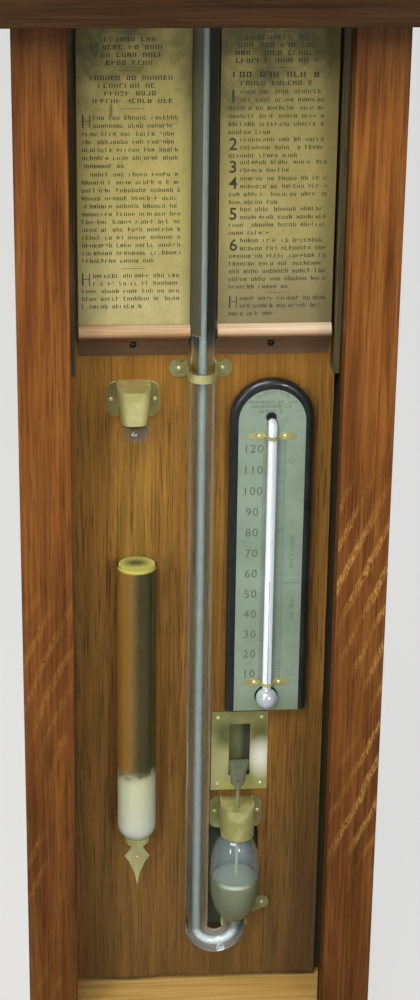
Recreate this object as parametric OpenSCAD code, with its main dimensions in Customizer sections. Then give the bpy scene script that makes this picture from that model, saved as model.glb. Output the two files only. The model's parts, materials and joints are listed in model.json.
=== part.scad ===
// Wall barometer: a hanging glazed case with a siphon mercury tube, a storm
// glass, a thermometer and two recording pointers moved by racks and pinions.
// +Z is up, +X is to the viewer's right, the wall is the plane y = 0 and the
// origin is the centre of the hanging hole. Sizes are in millimetres.

/* [Case] */
// Width of the trunk over its front stiles
trunk_w = 222; // [214:1:240]
// Depth of the trunk from the wall to the face of the stiles
trunk_d = 64; // [62:1:78]
// Height of the mercury in the bulb above the foot of the case
foot_room = 125; // [110:1:150]
// Thickness of the case sides
side_t = 14; // [10:1:15]
// Thickness of the case back
back_t = 6; // [5:0.5:9]
// Thickness of the pine floor
floor_t = 10; // [8:1:14]
// Height of the pine floor's underside above the foot of the case
floor_up = 24; // [10:1:40]
// Width of each front stile
stile_w = 31; // [28:1:34]
// Thickness of the front frame
frame_t = 20; // [17:1:22]
// Height of the bottom rail
rail_h = 34; // [30:1:44]
// Thickness of the glass panes
pane_t = 2.4; // [2:0.2:3]
// Width of the rebate that holds a pane
rebate_w = 6; // [4:0.5:8]
// Projection of the beads that keep the panes in, behind the frame
bead_out = 1; // [0.5:0.25:3]
// Height of the base moulding
base_h = 22; // [18:1:28]
// Projection of the base moulding
base_out = 9; // [6:1:12]

/* [Hood] */
// Height of the top of the cornice above the top of the tube
head_room = 18; // [14:1:40]
// Thickness of the hood cheeks outside the case sides
cheek_t = 10; // [8:1:14]
// Step of the hood face in front of the trunk face
hood_step = 6; // [4:1:9]
// Height of the hood bar
bar_h = 26; // [22:1:30]
// Projection of the bar in front of the trunk face
bar_out = 14; // [11:1:18]
// Overhang of the bar beyond each cheek
bar_side = 6; // [4:1:10]
// Height of the hood top rail
top_rail_h = 30; // [26:1:34]
// Height of the cornice moulding
cornice_h = 24; // [20:1:28]
// Projection of the cornice
cornice_out = 16; // [12:1:20]
// Thickness of the hood top board
top_t = 8; // [6:1:10]
// Height of the pediment above the cornice
pediment_h = 62; // [50:1:80]
// Thickness of the pediment
pediment_t = 12; // [10:1:16]
// Height of the turned finial
finial_h = 30; // [24:1:40]

/* [Hanging plate] */
// Height of the hanging hole above the case top
hang_rise = 15; // [13:1:20]
// Radius of the hanging hole
hang_r = 3.5; // [2.5:0.25:4.5]
// Width of the hanging plate
hang_w = 28; // [24:1:36]
// Thickness of the hanging plate
hang_t = 2; // [1.5:0.25:3]
// Length of the hanging plate on the case back
hang_len = 44; // [38:1:60]

/* [Boards] */
// Width of the mounting board
board_w = 162; // [158:1:164]
// Thickness of the mounting board
board_t = 9; // [8.5:0.5:12]
// Gap between the mounting board and the floor
board_gap = 2; // [1:0.5:4]
// Thickness of the register boards
register_t = 12; // [11.5:0.5:14]
// Clearance between the tube and the register boards beside it
register_clear = 0.2; // [0.1:0.05:0.8]
// Gap between a register board and its batten
batten_gap = 2; // [1:0.2:3]
// Set of the left register board and batten towards the tube
left_set_in = 1.8; // [0:0.2:3]
// Thickness of the printed papers
paper_t = 0.3; // [0.2:0.05:0.4]
// Height of the half-round nosing
nosing_h = 9.4; // [8:0.2:11]
// Height of the cove under the nosing
cove_h = 13.6; // [11:0.2:15]
// Width of the side battens
batten_w = 5.6; // [4.5:0.1:6]
// Overhang of the battens beyond the edges of the mounting board
batten_out = 2.8; // [2:0.2:3.6]
// Projection of the battens from the mounting board
batten_d = 15; // [13:0.5:17]

/* [Barometer tube] */
// Outer diameter of the tube
tube_d = 15; // [13.5:0.1:15.2]
// Bore of the tube
bore_d = 3.6; // [3:0.1:5]
// Distance of the tube axis in front of the mounting board
tube_off = 15; // [14.5:0.1:16]
// Distance of the long leg's axis from the centre of the case
tube_x = -0.5; // [-0.6:0.1:0.3]
// Radius of the U bend on the axis
bend_r = 12.5; // [12.25:0.25:14]
// Length of the long leg above the mercury in the bulb
tube_rise = 838; // [825:1:845]
// Drop from the hood bar to the mercury in the bulb
level_drop = 564; // [560:1:568]
// Length of the empty space over the mercury column
vacuum_h = 81; // [45:1:130]
// Greatest radius of the bulb
bulb_r = 16.3; // [15.5:0.1:16.8]
// Wall of the bulb
bulb_wall = 1.3; // [1:0.1:1.8]
// Height of the bulb above the mercury level
bulb_up = 33; // [31:0.5:35]
// Depth of the bulb below the mercury level
bulb_down = 34; // [32:0.5:37]
// Height of the bulb's open neck above the mercury level
neck_rise = 46; // [42:1:49]
// Radius of the bulb's open neck
neck_r = 7.2; // [6.6:0.1:7.4]

/* [Tube fittings] */
// Thickness of the brass sheet
sheet = 0.9; // [0.7:0.05:1.1]
// Height of the tube straps
strap_h = 5.2; // [4:0.2:7]
// Height of the clip at the neck of the bulb
clip_h = 4.4; // [3.6:0.2:5]
// Clearance of straps and clips round glass
glass_clear = 0.4; // [0.3:0.05:0.5]
// Drop from the register mouldings to the strap
strap_drop = 8.5; // [8:0.25:12]
// Height of the brass hood over the bulb
bulb_hood_h = 21.8; // [18:0.2:24]
// Height of the bulb hood's foot above the mercury level
bulb_hood_up = 30.4; // [28:0.2:32]
// Outer width of the bulb hood
bulb_hood_w = 21.2; // [20.8:0.1:22]
// Width of the window plate
window_w = 36.6; // [34:0.2:38]
// Height of the window plate
window_h = 57; // [54:0.5:60]
// Width of the slot in the window plate
slot_w = 13.6; // [11:0.2:16]
// Height of the slot in the window plate
slot_h = 37.6; // [35:0.2:39]
// Gap between the window plate and the bulb hood
window_gap = 3.5; // [3:0.1:5]
// Radius of the plug rod
rod_r = 1; // [0.8:0.05:1.2]
// Travel of the plug above its working place
plug_up = 22; // [18:0.5:22]
// Travel of the plug below its working place
plug_down = 5; // [4:0.5:6]

/* [Storm glass] */
// Outer diameter of the storm glass
storm_d = 24.6; // [22:0.2:25]
// Wall of the storm glass
storm_wall = 1.3; // [1:0.1:1.8]
// Distance of the storm glass's axis from the left edge of the mounting board
storm_inset = 41.2; // [38:0.2:43]
// Clearance between the storm glass and the mounting board
storm_gap = 1; // [0.6:0.1:2]
// Length of the storm glass from foot to shoulder
storm_len = 275; // [260:1:290]
// Height of the liquid from the foot
liquid_h = 194; // [150:1:230]
// Height of the crystals from the foot
crystal_h = 52; // [20:1:60]
// Drop from the register mouldings to the top of the storm glass hood
storm_hood_drop = 15.5; // [14:0.5:20]
// Height of the storm glass hood
storm_hood_h = 22; // [19:0.5:25]
// Width of the storm glass hood at its back edge
storm_hood_w = 20.4; // [19:0.2:24]
// Length of the spear bracket below the storm glass
spear_len = 43; // [36:0.5:50]
// Width of the spear bracket
spear_w = 16.4; // [14:0.2:20]

/* [Thermometer] */
// Width of the ebonised board
thermo_w = 52; // [50:0.5:54]
// Length of the ebonised board
thermo_len = 224.4; // [218:0.2:232]
// Thickness of the ebonised board
thermo_t = 8; // [7:0.5:9]
// Distance of the thermometer's centre line from the centre
thermo_x = 43; // [42:0.2:45]
// Drop from the register mouldings to the top of the thermometer
thermo_drop = 14.4; // [11:0.2:17]
// Gap between the thermometer and the window plate
thermo_gap = 4.5; // [2:0.5:12]
// Width of the black margin round the scale plate
margin = 5.4; // [4.5:0.1:7]
// Thickness of the scale plate
plate_t = 0.8; // [0.6:0.1:1.2]
// Diameter of the thermometer tube
stem_d = 5.6; // [4.8:0.1:6.2]
// Bore of the thermometer tube
stem_bore = 0.9; // [0.7:0.05:1.2]
// Radius of the thermometer bulb
stem_bulb_r = 6.8; // [6:0.1:7.4]
// Height of the thermometer bulb's centre above the board's foot
stem_bulb_z = 10.8; // [10:0.1:13]
// Length of the thermometer stem above the bulb's centre
stem_len = 186; // [170:1:190]
// Length of each leaf of the stem's clips
leaf_w = 12.8; // [11:0.2:14]
// Length of the mercury thread above the bulb's centre
thread_len = 83; // [40:1:150]

/* [Recording pointers] */
// Width of a pointer plate
pointer_w = 24; // [18:1:30]
// Height of a pointer plate
pointer_h = 16; // [12:1:20]
// Length of the pointer's travel
pointer_travel = 100; // [80:1:104]
// Height of the mercury column above the lowest reading
scale_below = 71; // [60:1:80]
// Set of the left pointer above the lowest reading
left_set = 66; // [10:1:78]
// Set of the right pointer above the lowest reading
right_set = 71; // [10:1:78]
// Module of the rack and pinion teeth
tooth_m = 0.6; // [0.55:0.05:0.65]
// Teeth on a pinion
teeth = 16; // [14:1:17]
// Width of a rack
rack_w = 4; // [3:0.5:5]
// Radius of the cross shafts
shaft_r = 1.5; // [1.2:0.05:1.8]
// Drop from the lowest reading to the cross shafts
shaft_drop = 20; // [18:1:30]
// Radius of the knobs
knob_r = 9; // [7:0.5:11]
// Length of the knobs
knob_len = 14; // [11:0.5:18]

/* [Hidden] */

fit = 0.05;            // clearance of a piece in the hole or channel that holds it
slack = 0.5;           // clearance of a piece that must move past another
eps = 0.01;            // overshoot of a cutting body past the face that it opens

board_drop = 12;       // top of the mounting board below the underside of the top board
split_up = 22;         // joint between the lower and the upper papers, above the bar's foot
pane_depth = 6;        // front plane of both panes, in front of the frame's back
pane_slack = 0.5;      // play of a pane in its rebates

// Planes and heights of the case
y_face = -trunk_d;
y_frame = y_face + frame_t;
y_board = -back_t - board_t;
y_paper = y_board - register_t;
y_hood = y_face - hood_step;
y_bar = y_face - bar_out;
y_tube = y_board - tube_off;
in_w = trunk_w - 2 * side_t;
open_w = trunk_w - 2 * stile_w;
hood_w = trunk_w + 2 * cheek_t;
hood_open_w = open_w + 2;
bar_w = hood_w + 2 * bar_side;
column_h = tube_rise - vacuum_h;
trunk_h = level_drop + foot_room;
hood_h = tube_rise - level_drop + head_room;
z_top = -hang_rise;
z_bar = z_top - hood_h;
z_bar_top = z_bar + bar_h;
z_foot = z_bar - trunk_h;
z_floor = z_foot + floor_up + floor_t;
z_rail = z_foot + rail_h;
z_level = z_bar - level_drop;
z_board_top = z_top - top_t - board_drop;
z_hood_rail = z_top - cornice_h;
z_hood_open = z_hood_rail - top_rail_h;
z_bulb_hood = z_level + bulb_hood_up;
z_bulb_hood_top = z_bulb_hood + bulb_hood_h;
z_window = z_bulb_hood_top + window_gap;
z_thermo = z_window + window_h + thermo_gap;
z_mould = z_thermo + thermo_len + thermo_drop;
z_chart = z_mould + cove_h + nosing_h;
z_split = z_bar + split_up;
register_gap = tube_d + 2 * abs(tube_x) + 2 * register_clear;
batten_x = board_w / 2 + batten_out - batten_w;
register_w = batten_x - batten_gap - register_gap / 2;
storm_x = board_w / 2 - storm_inset;
y_pane = y_frame - pane_depth;

// Section of the moulding under a register board
nosing_back = 1.5;             // set of the cove behind the paper's plane
cove_web = 1.2;                // wood left behind the cove
nosing_r = nosing_h / 2;
cove_y = y_paper + nosing_back;
cove_r = min(cove_h - 2, register_t - nosing_back - cove_web);
z_cove = z_chart - nosing_h;

// Places of the tube and its fittings
slot_foot = 10.6;              // foot of the slot above the foot of its plate
end_drop = 12;                 // upper strap below the top of the tube
bulb_x = tube_x + 2 * bend_r;
z_bend = z_level - bulb_down - 4;
rod_x = bulb_x + 1;            // the rod and its slide stand a little right of the bulb
hood_x = rod_x + 0.3;          // and the hood a little more
window_x = rod_x + 2;
z_slot = z_window + slot_foot;
z_strap = z_mould - strap_drop;
z_upper_strap = z_level + tube_rise - end_drop;
ear_r = 6;
ear_x = tube_d / 2 + glass_clear + sheet + ear_r;
bulb_step = (bulb_up + bulb_down) / 20;
flare_r = swell((bulb_up + bulb_down) / 2 - bulb_step, bulb_r, (bulb_up + bulb_down) / 2);
flare_up = bulb_step * glass_clear / (flare_r - tube_d / 2);   // where the flare meets the clip
z_clip = z_level - bulb_down + flare_up - clip_h / 2;
arm_rise = slot_h * 0.28;      // height of the slide's top edge above the slot's foot
z_slide = z_slot + arm_rise;
plug_sink = 27;                // foot of the plug below the mercury level at rest
z_plug = z_level - plug_sink;
recess_x = bulb_x - 0.8;
recess_r = bulb_r + 1;
recess_low = z_bend - 14;      // foot of the narrow part of the recess, behind the bend
seat_drop = 0.6;               // flat on the arch that the finial stands on
plug_r = rod_r + 1.2;
plug_h = 7;
plug_clear = 0.3;              // hollow round the plug in the mercury
tongue_drop = tube_off * 0.55; // fall of the slide's tongue from the slot to the rod

// Places of the storm glass
y_storm = y_board - storm_gap - storm_d / 2;
z_storm_hood = z_mould - storm_hood_drop;
storm_neck_r = 4.6;
storm_neck_h = 22;             // sealed tip above the start of the shoulder
neck_room = 15;                // hood's foot above the start of the shoulder
z_storm = z_storm_hood - storm_hood_h - neck_room - storm_len;
storm_hood_x = storm_x + 1.6;  // the hood hangs a little left of the glass
spear_x = storm_x - 1;

// Places of the thermometer
y_plate = y_board - thermo_t;
plate_w = thermo_w - 2 * margin;
y_stem = y_plate - plate_t - stem_d / 2 - 0.1;
z_stem_bulb = z_thermo + stem_bulb_z;
z_stem_top = z_stem_bulb + stem_len;
z_clips = [z_stem_bulb + 10, z_stem_top - 8.4];
stem_wall = 0.8;               // glass round the mercury in the bulb

// Rack, pinion and pointer sizes
pitch_r = tooth_m * teeth / 2;
tooth_pitch = PI * tooth_m;
y_rack = y_paper + 7.2;                    // pitch line of the rack
y_shaft = y_rack + pitch_r;
rack_back = 2.2;                           // bar behind the rack's pitch line
pointer_x = register_gap / 2 + 5.4;        // middle of rack and slot
z_scale = z_level + column_h - scale_below;
z_shaft = z_scale - shaft_drop;
z_left = z_scale + left_set;
z_right = z_scale + right_set;
rack_down = z_scale + pointer_travel - z_shaft + 8;
channel_low = z_scale - rack_down - 3;
channel_high = z_scale + pointer_travel + pointer_h / 2 + 3;
channel_w = rack_w + 2 * slack;
slot_gap = 2.4;                            // width of the pointer's slot
pocket_r = pitch_r + tooth_m + slack;

// Nails as [x, height, face] in the plane of the mounting board
nail_r = 0.6;
nail_head = 1.35;
nail_len = 7;
hood_ear_x = bulb_hood_w / 2 + 3.3;
storm_ear_x = storm_hood_w / 2 + 3.1;
ear_nail_drop = 12.3;          // nails of the storm glass hood below its top
ear_nail_up = 9.5;             // nails of the bulb hood above its foot
scallop_in = 1.6;              // nail of a scalloped ear inside the ear's reach
mould_head = 2.1;              // head of a moulding's nail
plate_inset = 4.2;
wx = window_w / 2 - plate_inset;
wz = window_h / 2 - plate_inset;
clip_ear_x = tube_d / 2 + 12.2;
z_clip_ear = z_clip + 4.4;
nails = concat(
    [for (s = [-1, 1]) [tube_x + s * (ear_x - scallop_in), z_strap]],
    [for (s = [-1, 1]) [-storm_hood_x + s * storm_ear_x, z_storm_hood - ear_nail_drop]],
    [[-spear_x, z_storm - spear_len / 2]],
    [for (s = [-1, 1]) [hood_x + s * hood_ear_x, z_bulb_hood + ear_nail_up]],
    [for (s = [-1, 1], t = [-1, 1]) [window_x + s * wx, z_window + window_h / 2 + t * wz]],
    [[bulb_x + clip_ear_x, z_clip_ear]]);
clip_nails = [for (z = z_clips, s = [-1, 1]) [thermo_x + s * 7.9, z]];
mould_nails = [for (s = [-1, 1]) [s * (register_gap / 2 + register_w * 0.49), z_cove - cove_r * 0.7]];
y_mould_nail = cove_y + cove_r * sqrt(1 - 0.3 * 0.3);
upper_nails = [for (s = [-1, 1]) [tube_x + s * (ear_x - scallop_in), z_upper_strap]];

// Extrudes a plan drawn in x and z forwards from the plane y = y_back
module slab(y_back, t) {
    translate([0, y_back, 0]) rotate([90, 0, 0]) linear_extrude(t) children();
}

// Extrudes a section drawn in y and z along x from x0
module run_x(x0, len) {
    translate([x0, 0, 0]) rotate([90, 0, 90]) linear_extrude(len) children();
}

// Block from its low corner to its high corner
module block(a, b) {
    translate(a) cube([b[0] - a[0], b[1] - a[1], b[2] - a[2]]);
}

// Rectangle in x and z, centred on x
module panel(w, z0, z1) {
    translate([-w / 2, z0]) square([w, z1 - z0]);
}

// Round hole along y through a list of places
module pilot_holes(places, y_back, y_front, r) {
    for (p = places) translate([p[0], y_back, p[1]]) rotate([90, 0, 0])
        cylinder(r = r, h = y_back - y_front, $fn = 24);
}

// Superellipse radius of the bulb at height z above its middle
function swell(z, r, h) = r * pow(max(0, 1 - pow(abs(z) / h, 2.4)), 1 / 2.4);

// Case

module case_back() {
    color("saddlebrown") difference() {
        block([-in_w / 2, -back_t, z_floor], [in_w / 2, 0, z_top]);
        block([-hang_w / 2 - fit, -hang_t, z_top - hang_len], [hang_w / 2 + fit, eps, z_top + eps]);
        hanging_holes(back_t, 1.6);
    }
}

module case_side(s) {
    x0 = s > 0 ? in_w / 2 : -trunk_w / 2;
    color("sienna") difference() {
        block([x0, y_frame, z_foot], [x0 + side_t, 0, z_top]);
        shaft_bore(s, shaft_r + fit);
    }
}

module case_side_left() { case_side(-1); }
module case_side_right() { case_side(1); }

module case_floor() {
    color("burlywood") block([-in_w / 2, y_frame, z_foot + floor_up], [in_w / 2, 0, z_floor]);
}

// Plan of a stile with the rebate for its pane at the inner back edge
module stile_plan(w, t) {
    difference() {
        square([w, t]);
        translate([w - rebate_w, t - (y_frame - y_pane)]) square([rebate_w + eps, y_frame - y_pane + eps]);
    }
}

module front_stile(s) {
    color("chocolate") mirror([s > 0 ? 1 : 0, 0, 0])
        translate([-trunk_w / 2, y_face, z_foot]) linear_extrude(trunk_h)
            stile_plan(stile_w, frame_t);
}

module front_stile_left() { front_stile(-1); }
module front_stile_right() { front_stile(1); }

module bottom_rail() {
    color("chocolate") run_x(-open_w / 2, open_w) difference() {
        translate([y_face, z_foot]) square([frame_t, rail_h]);
        translate([y_pane, z_rail - rebate_w]) square([y_frame - y_pane + eps, rebate_w + eps]);
    }
}

// Moulded section: a cyma that leans out by d over the height h
function cyma(d, h, n = 8) = concat(
    [for (i = [0:n]) let (a = 90 * i / n) [d / 2 * (1 - cos(a)), h / 2 * sin(a)]],
    [for (i = [1:n]) let (a = 90 * i / n) [d / 2 * (1 + sin(a)), h / 2 * (2 - cos(a))]]);

// Outline of a cap whose two sides carry the cyma
module cap_outline(w, d, h, lip) {
    edge = cyma(d, h - lip);
    polygon(concat(
        [for (p = edge) [w / 2 + p[0], p[1]]],
        [[w / 2 + d, h]],
        [[-w / 2 - d, h]],
        [for (i = [len(edge) - 1:-1:0]) [-w / 2 - edge[i][0], edge[i][1]]]));
}

// Front edge of the same cap, seen from the side
module cap_side(y0, d, h, lip) {
    edge = cyma(d, h - lip);
    polygon(concat([[0, 0]], [for (p = edge) [y0 - p[0], p[1]]], [[y0 - d, h], [0, h]]));
}

module cap(w, y0, d, h, lip) {
    intersection() {
        slab(0, -y0 + d + 1) cap_outline(w, d, h, lip);
        run_x(-w / 2 - d - 1, w + 2 * d + 2) cap_side(y0, d, h, lip);
    }
}

module base_moulding() {
    color("saddlebrown") difference() {
        translate([0, 0, z_foot + base_h * 0.1]) mirror([0, 0, 1])
            cap(trunk_w, y_face, base_out, base_h, base_h * 0.3);
        block([-trunk_w / 2, y_face, z_foot], [trunk_w / 2, eps, z_foot + base_h]);
    }
}

// Pane that fills its rebates with a little play
module pane(w, z0, z1) {
    color("lightcyan", 0.3)
        block([-w / 2 - rebate_w + pane_slack, y_pane, z0],
            [w / 2 + rebate_w - pane_slack, y_pane + pane_t, z1]);
}

module trunk_glass() { pane(open_w, z_rail - rebate_w + pane_slack, z_bar); }

// Beads that keep both panes in, along the rebates of the stiles
module glass_beads() {
    runs = [[open_w, z_rail, z_bar], [hood_open_w, z_bar_top, z_hood_open]];
    color("saddlebrown") for (run = runs, s = [0, 1]) mirror([s, 0, 0])
        block([run[0] / 2, y_pane + pane_t, run[1]], [run[0] / 2 + rebate_w, y_frame + bead_out, run[2]]);
}

// Hood

module hood_bar() {
    round_r = bar_h * 0.16;
    color("saddlebrown") run_x(-bar_w / 2, bar_w) union() {
        translate([y_bar, z_bar]) square([y_frame - y_bar, bar_h - round_r]);
        translate([y_bar + round_r, z_bar]) square([y_frame - y_bar - round_r, bar_h]);
        translate([y_bar + round_r, z_bar_top - round_r]) circle(r = round_r, $fn = 32);
    }
}

module hood_bar_returns() {
    round_r = bar_h * 0.16;
    color("saddlebrown") for (s = [-1, 1]) mirror([s > 0 ? 0 : 1, 0, 0])
        slab(0, -y_frame) union() {
            translate([trunk_w / 2, z_bar]) square([bar_w / 2 - trunk_w / 2, bar_h - round_r]);
            translate([trunk_w / 2, z_bar]) square([bar_w / 2 - trunk_w / 2 - round_r, bar_h]);
            translate([bar_w / 2 - round_r, z_bar_top - round_r]) circle(r = round_r, $fn = 32);
        }
}

module hood_cheek(s) {
    x0 = s > 0 ? trunk_w / 2 : -hood_w / 2;
    color("sienna") difference() {
        block([x0, y_frame, z_bar_top], [x0 + cheek_t, 0, z_top - cornice_h]);
        shaft_bore(s, shaft_r + fit);
    }
}

module hood_cheek_left() { hood_cheek(-1); }
module hood_cheek_right() { hood_cheek(1); }

module hood_stile(s) {
    w = (hood_w - hood_open_w) / 2;
    color("chocolate") mirror([s > 0 ? 1 : 0, 0, 0])
        translate([-hood_w / 2, y_hood, z_bar_top]) linear_extrude(z_hood_rail - z_bar_top)
            stile_plan(w, y_frame - y_hood);
}

module hood_stile_left() { hood_stile(-1); }
module hood_stile_right() { hood_stile(1); }

module hood_top_rail() {
    color("chocolate") run_x(-hood_open_w / 2, hood_open_w) difference() {
        translate([y_hood, z_hood_open]) square([y_frame - y_hood, top_rail_h]);
        translate([y_pane, z_hood_open - eps]) square([y_frame - y_pane + eps, rebate_w + eps]);
    }
}

module hood_glass() { pane(hood_open_w, z_bar_top, z_hood_open + rebate_w - pane_slack); }

module hood_top_board() {
    color("sienna") block([-in_w / 2, y_frame, z_top - top_t], [in_w / 2, -back_t, z_top]);
}

// Cornice round the front and both sides of the hood
module cornice() {
    color("saddlebrown") difference() {
        translate([0, 0, z_top - cornice_h]) cap(hood_w, y_hood, cornice_out, cornice_h, cornice_h * 0.25);
        block([-trunk_w / 2, y_frame, z_top - cornice_h - 1], [trunk_w / 2, 1, z_top + 1]);
    }
}

// Crest: a segmental arch between two hollow shoulders
module pediment() {
    w = hood_w * 0.86;
    base = pediment_h * 0.26;
    arch_w = w * 0.62;
    rise = pediment_h - base;
    arch_r = (arch_w * arch_w / 4 + rise * rise) / (2 * rise);
    hollow_r = (w - arch_w) / 2 * 0.72;
    color("chocolate") slab(y_hood + pediment_t + 3, pediment_t) translate([0, z_top]) difference() {
        union() {
            panel(w, 0, base);
            intersection() {
                translate([0, pediment_h - arch_r]) circle(r = arch_r, $fn = 180);
                panel(arch_w, 0, pediment_h + 1);
            }
        }
        for (s = [-1, 1]) translate([s * w / 2, base]) circle(r = hollow_r * 0.5, $fn = 48);
        translate([-w / 2, pediment_h - seat_drop]) square([w, pediment_h]);
    }
}

// Turned finial, drawn as a half section from its spigot to its tip
module finial() {
    h = finial_h;
    ball = h * 0.22;
    color("saddlebrown") translate([0, y_hood + pediment_t / 2 + 3, z_top + pediment_h - seat_drop]) {
        cylinder(r = min(h * 0.2, pediment_t / 2), h = h * 0.12, $fn = 48);
        translate([0, 0, h * 0.12]) rotate_extrude($fn = 48) polygon(concat([[0, 0]],
            [for (i = [0:8]) let (t = i / 8) [h * (0.1 + 0.05 * cos(180 * t)), h * 0.2 * t]],
            [[0, h * 0.2]]));
        translate([0, 0, h * 0.32 + ball * 0.8]) sphere(r = ball, $fn = 48);
        translate([0, 0, h * 0.32 + ball * 1.7]) cylinder(r1 = ball * 0.36, r2 = 0.6,
            h = h * 0.68 - ball * 1.7, $fn = 48);
    }
}

// Hanging plate

module hanging_holes(depth, r) {
    for (s = [-1, 1], t = [0.3, 0.8]) {
        translate([s * hang_w * 0.3, eps, z_top - hang_len * t]) rotate([90, 0, 0])
            cylinder(r = r, h = depth, $fn = 32);
    }
}

module hanging_plate() {
    color("darkkhaki") difference() {
        slab(0, hang_t) difference() {
            union() {
                translate([-hang_w / 2, z_top - hang_len + fit]) square([hang_w, hang_len - fit]);
                translate([-hang_w / 2, z_top]) square([hang_w, hang_rise - 2]);
                circle(r = hang_w / 2 - 2, $fn = 64);
            }
            circle(r = hang_r, $fn = 64);
        }
        hanging_holes(hang_t + 1, 2.1);
    }
}

module hanging_screws() {
    color("gray") for (s = [-1, 1], t = [0.3, 0.8]) {
        translate([s * hang_w * 0.3, 0, z_top - hang_len * t]) rotate([90, 0, 0]) {
            cylinder(r = 2.05, h = hang_t, $fn = 32);
            cylinder(r = 1.55, h = back_t - 0.5, $fn = 32);
        }
    }
}

// Boards

// Bore for a cross shaft, blind at its inner end
module shaft_bore(s, r) {
    x0 = pointer_x - rack_w / 2 - 3.4;
    translate([s > 0 ? x0 : -x0 - hood_w, y_shaft, z_shaft]) rotate([0, 90, 0])
        cylinder(r = r, h = hood_w, $fn = 48);
}

module pinion_pocket(s) {
    translate([s * pointer_x - channel_w / 2 - 1, y_shaft, z_shaft]) rotate([0, 90, 0])
        cylinder(r = pocket_r, h = channel_w + 2, $fn = 48);
}

// Outline of the mounting board, its lower edge worn into shallow chips
module board_outline() {
    chips = [[-0.5, 2.6], [-0.36, 2.5], [-0.27, 0.4], [-0.2, 1.9], [-0.14, 3.4], [0.05, 2], [0.2, 2.1],
        [0.36, 1], [0.5, 0]];
    n = 54;
    polygon(concat(
        [for (i = [0:n]) let (t = i / n - 0.5)
            [t * board_w, z_floor + board_gap + lookup(t, chips) + 0.25 * sin(i * 97)]],
        [[board_w / 2, z_board_top], [-board_w / 2, z_board_top]]));
}

module mounting_board() {
    color("sienna") difference() {
        slab(-back_t, board_t) board_outline();
        slab(-back_t + 1, board_t + 2) translate([window_x, 0])
            panel(slot_w + 8, z_window + 4, z_window + window_h - 4);
        slab(-back_t + 1, board_t + 2) bulb_recess();
        pilot_holes(concat(nails, mould_nails), y_board + nail_len - 1, y_board - 1, nail_r + fit);
        for (s = [-1, 1]) {
            pinion_pocket(s);
            shaft_bore(s, shaft_r + fit);
        }
    }
}

// Upright slot with round ends behind the bulb, with a narrow foot behind the bend
module bulb_recess() {
    z0 = z_level - bulb_down - 4 + recess_r;
    z1 = z_level + bulb_up - 3 - recess_r / 2;
    translate([recess_x, 0]) union() {
        translate([0, z0]) circle(r = recess_r, $fn = 64);
        translate([0, z1]) circle(r = recess_r, $fn = 64);
        translate([-recess_r, z0]) square([2 * recess_r, z1 - z0]);
        translate([-recess_r, recess_low]) square([recess_r + 2, z0 - recess_low]);
    }
}

// Width of the left or the right register, and its low edge
function register_width(s) = s > 0 ? register_w : register_w - left_set_in;
function register_start(s) = s > 0 ? register_gap / 2 : -register_gap / 2 - register_width(s);

module register_board(s) {
    x0 = register_start(s);
    color("sienna") difference() {
        block([x0, y_paper, z_chart], [x0 + register_width(s), y_board, z_board_top]);
        block([s * pointer_x - channel_w / 2, y_rack - rack_back - slack, channel_low],
            [s * pointer_x + channel_w / 2, y_board + eps, channel_high]);
        block([s * pointer_x - slot_gap / 2, y_paper - eps, z_scale - 4],
            [s * pointer_x + slot_gap / 2, y_board, z_scale + pointer_travel + 4]);
        pinion_pocket(s);
        shaft_bore(s, shaft_r + fit);
        pilot_holes(upper_nails, y_paper + nail_len - 1, y_paper - 1, nail_r + fit);
    }
}

module register_board_left() { register_board(-1); }
module register_board_right() { register_board(1); }

// Half-round nosing over a hollow cove, nailed under the register board
module register_moulding(s) {
    color("peru") difference() {
        run_x(register_start(s), register_width(s)) difference() {
            union() {
                translate([y_paper, z_mould]) square([register_t, z_chart - z_mould]);
                translate([y_paper, z_chart - nosing_r]) circle(r = nosing_r, $fn = 48);
            }
            translate([cove_y, z_cove - cove_r]) circle(r = cove_r, $fn = 64);
            translate([y_paper - 1, z_mould - 1]) square([cove_y - y_paper + 1, z_cove - z_mould + 1]);
            translate([y_paper, z_mould - 1])
                square([cove_y + cove_r - y_paper, z_cove - cove_r - z_mould + 1]);
        }
        pilot_holes(mould_nails, y_board + 1, y_paper - 1, nail_r + fit);
        pilot_holes(mould_nails, y_mould_nail, y_paper - 1, mould_head + fit);
    }
}

module register_moulding_left() { register_moulding(-1); }
module register_moulding_right() { register_moulding(1); }

module paper(s, z0, z1) {
    x0 = register_start(s);
    color("tan") difference() {
        block([x0, y_paper - paper_t, z0], [x0 + register_width(s), y_paper, z1]);
        block([s * pointer_x - slot_gap / 2, y_paper - 1, z_scale - 4],
            [s * pointer_x + slot_gap / 2, y_paper + 1, z_scale + pointer_travel + 4]);
        pilot_holes(upper_nails, y_paper + 1, y_paper - 1, nail_r + fit);
    }
}

module lower_paper_left() { paper(-1, z_chart, z_split); }
module lower_paper_right() { paper(1, z_chart, z_split); }
module upper_paper_left() { paper(-1, z_split + 0.5, z_board_top); }
module upper_paper_right() { paper(1, z_split + 0.5, z_board_top); }

module side_batten(s) {
    x0 = s > 0 ? batten_x : -batten_x - batten_w + left_set_in;
    color("saddlebrown") difference() {
        block([x0, y_board - batten_d, z_mould - 8.5], [x0 + batten_w, y_board, z_board_top]);
        shaft_bore(s, shaft_r + fit);
    }
}

module side_batten_left() { side_batten(-1); }
module side_batten_right() { side_batten(1); }

// Barometer tube

// Bulb half section between two heights over the mercury level, wall t inwards
function bulb_profile(t, r_low, r_high, n = 20) = [
    for (i = [0:n]) let (
        z = -bulb_down + t + (bulb_up + bulb_down - 2 * t) * i / n,
        mid = (bulb_up - bulb_down) / 2,
        half = (bulb_up + bulb_down) / 2 - t,
        r = swell(z - mid, bulb_r - t, half))
    [max(r, z < mid ? r_low : r_high), z]];

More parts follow.
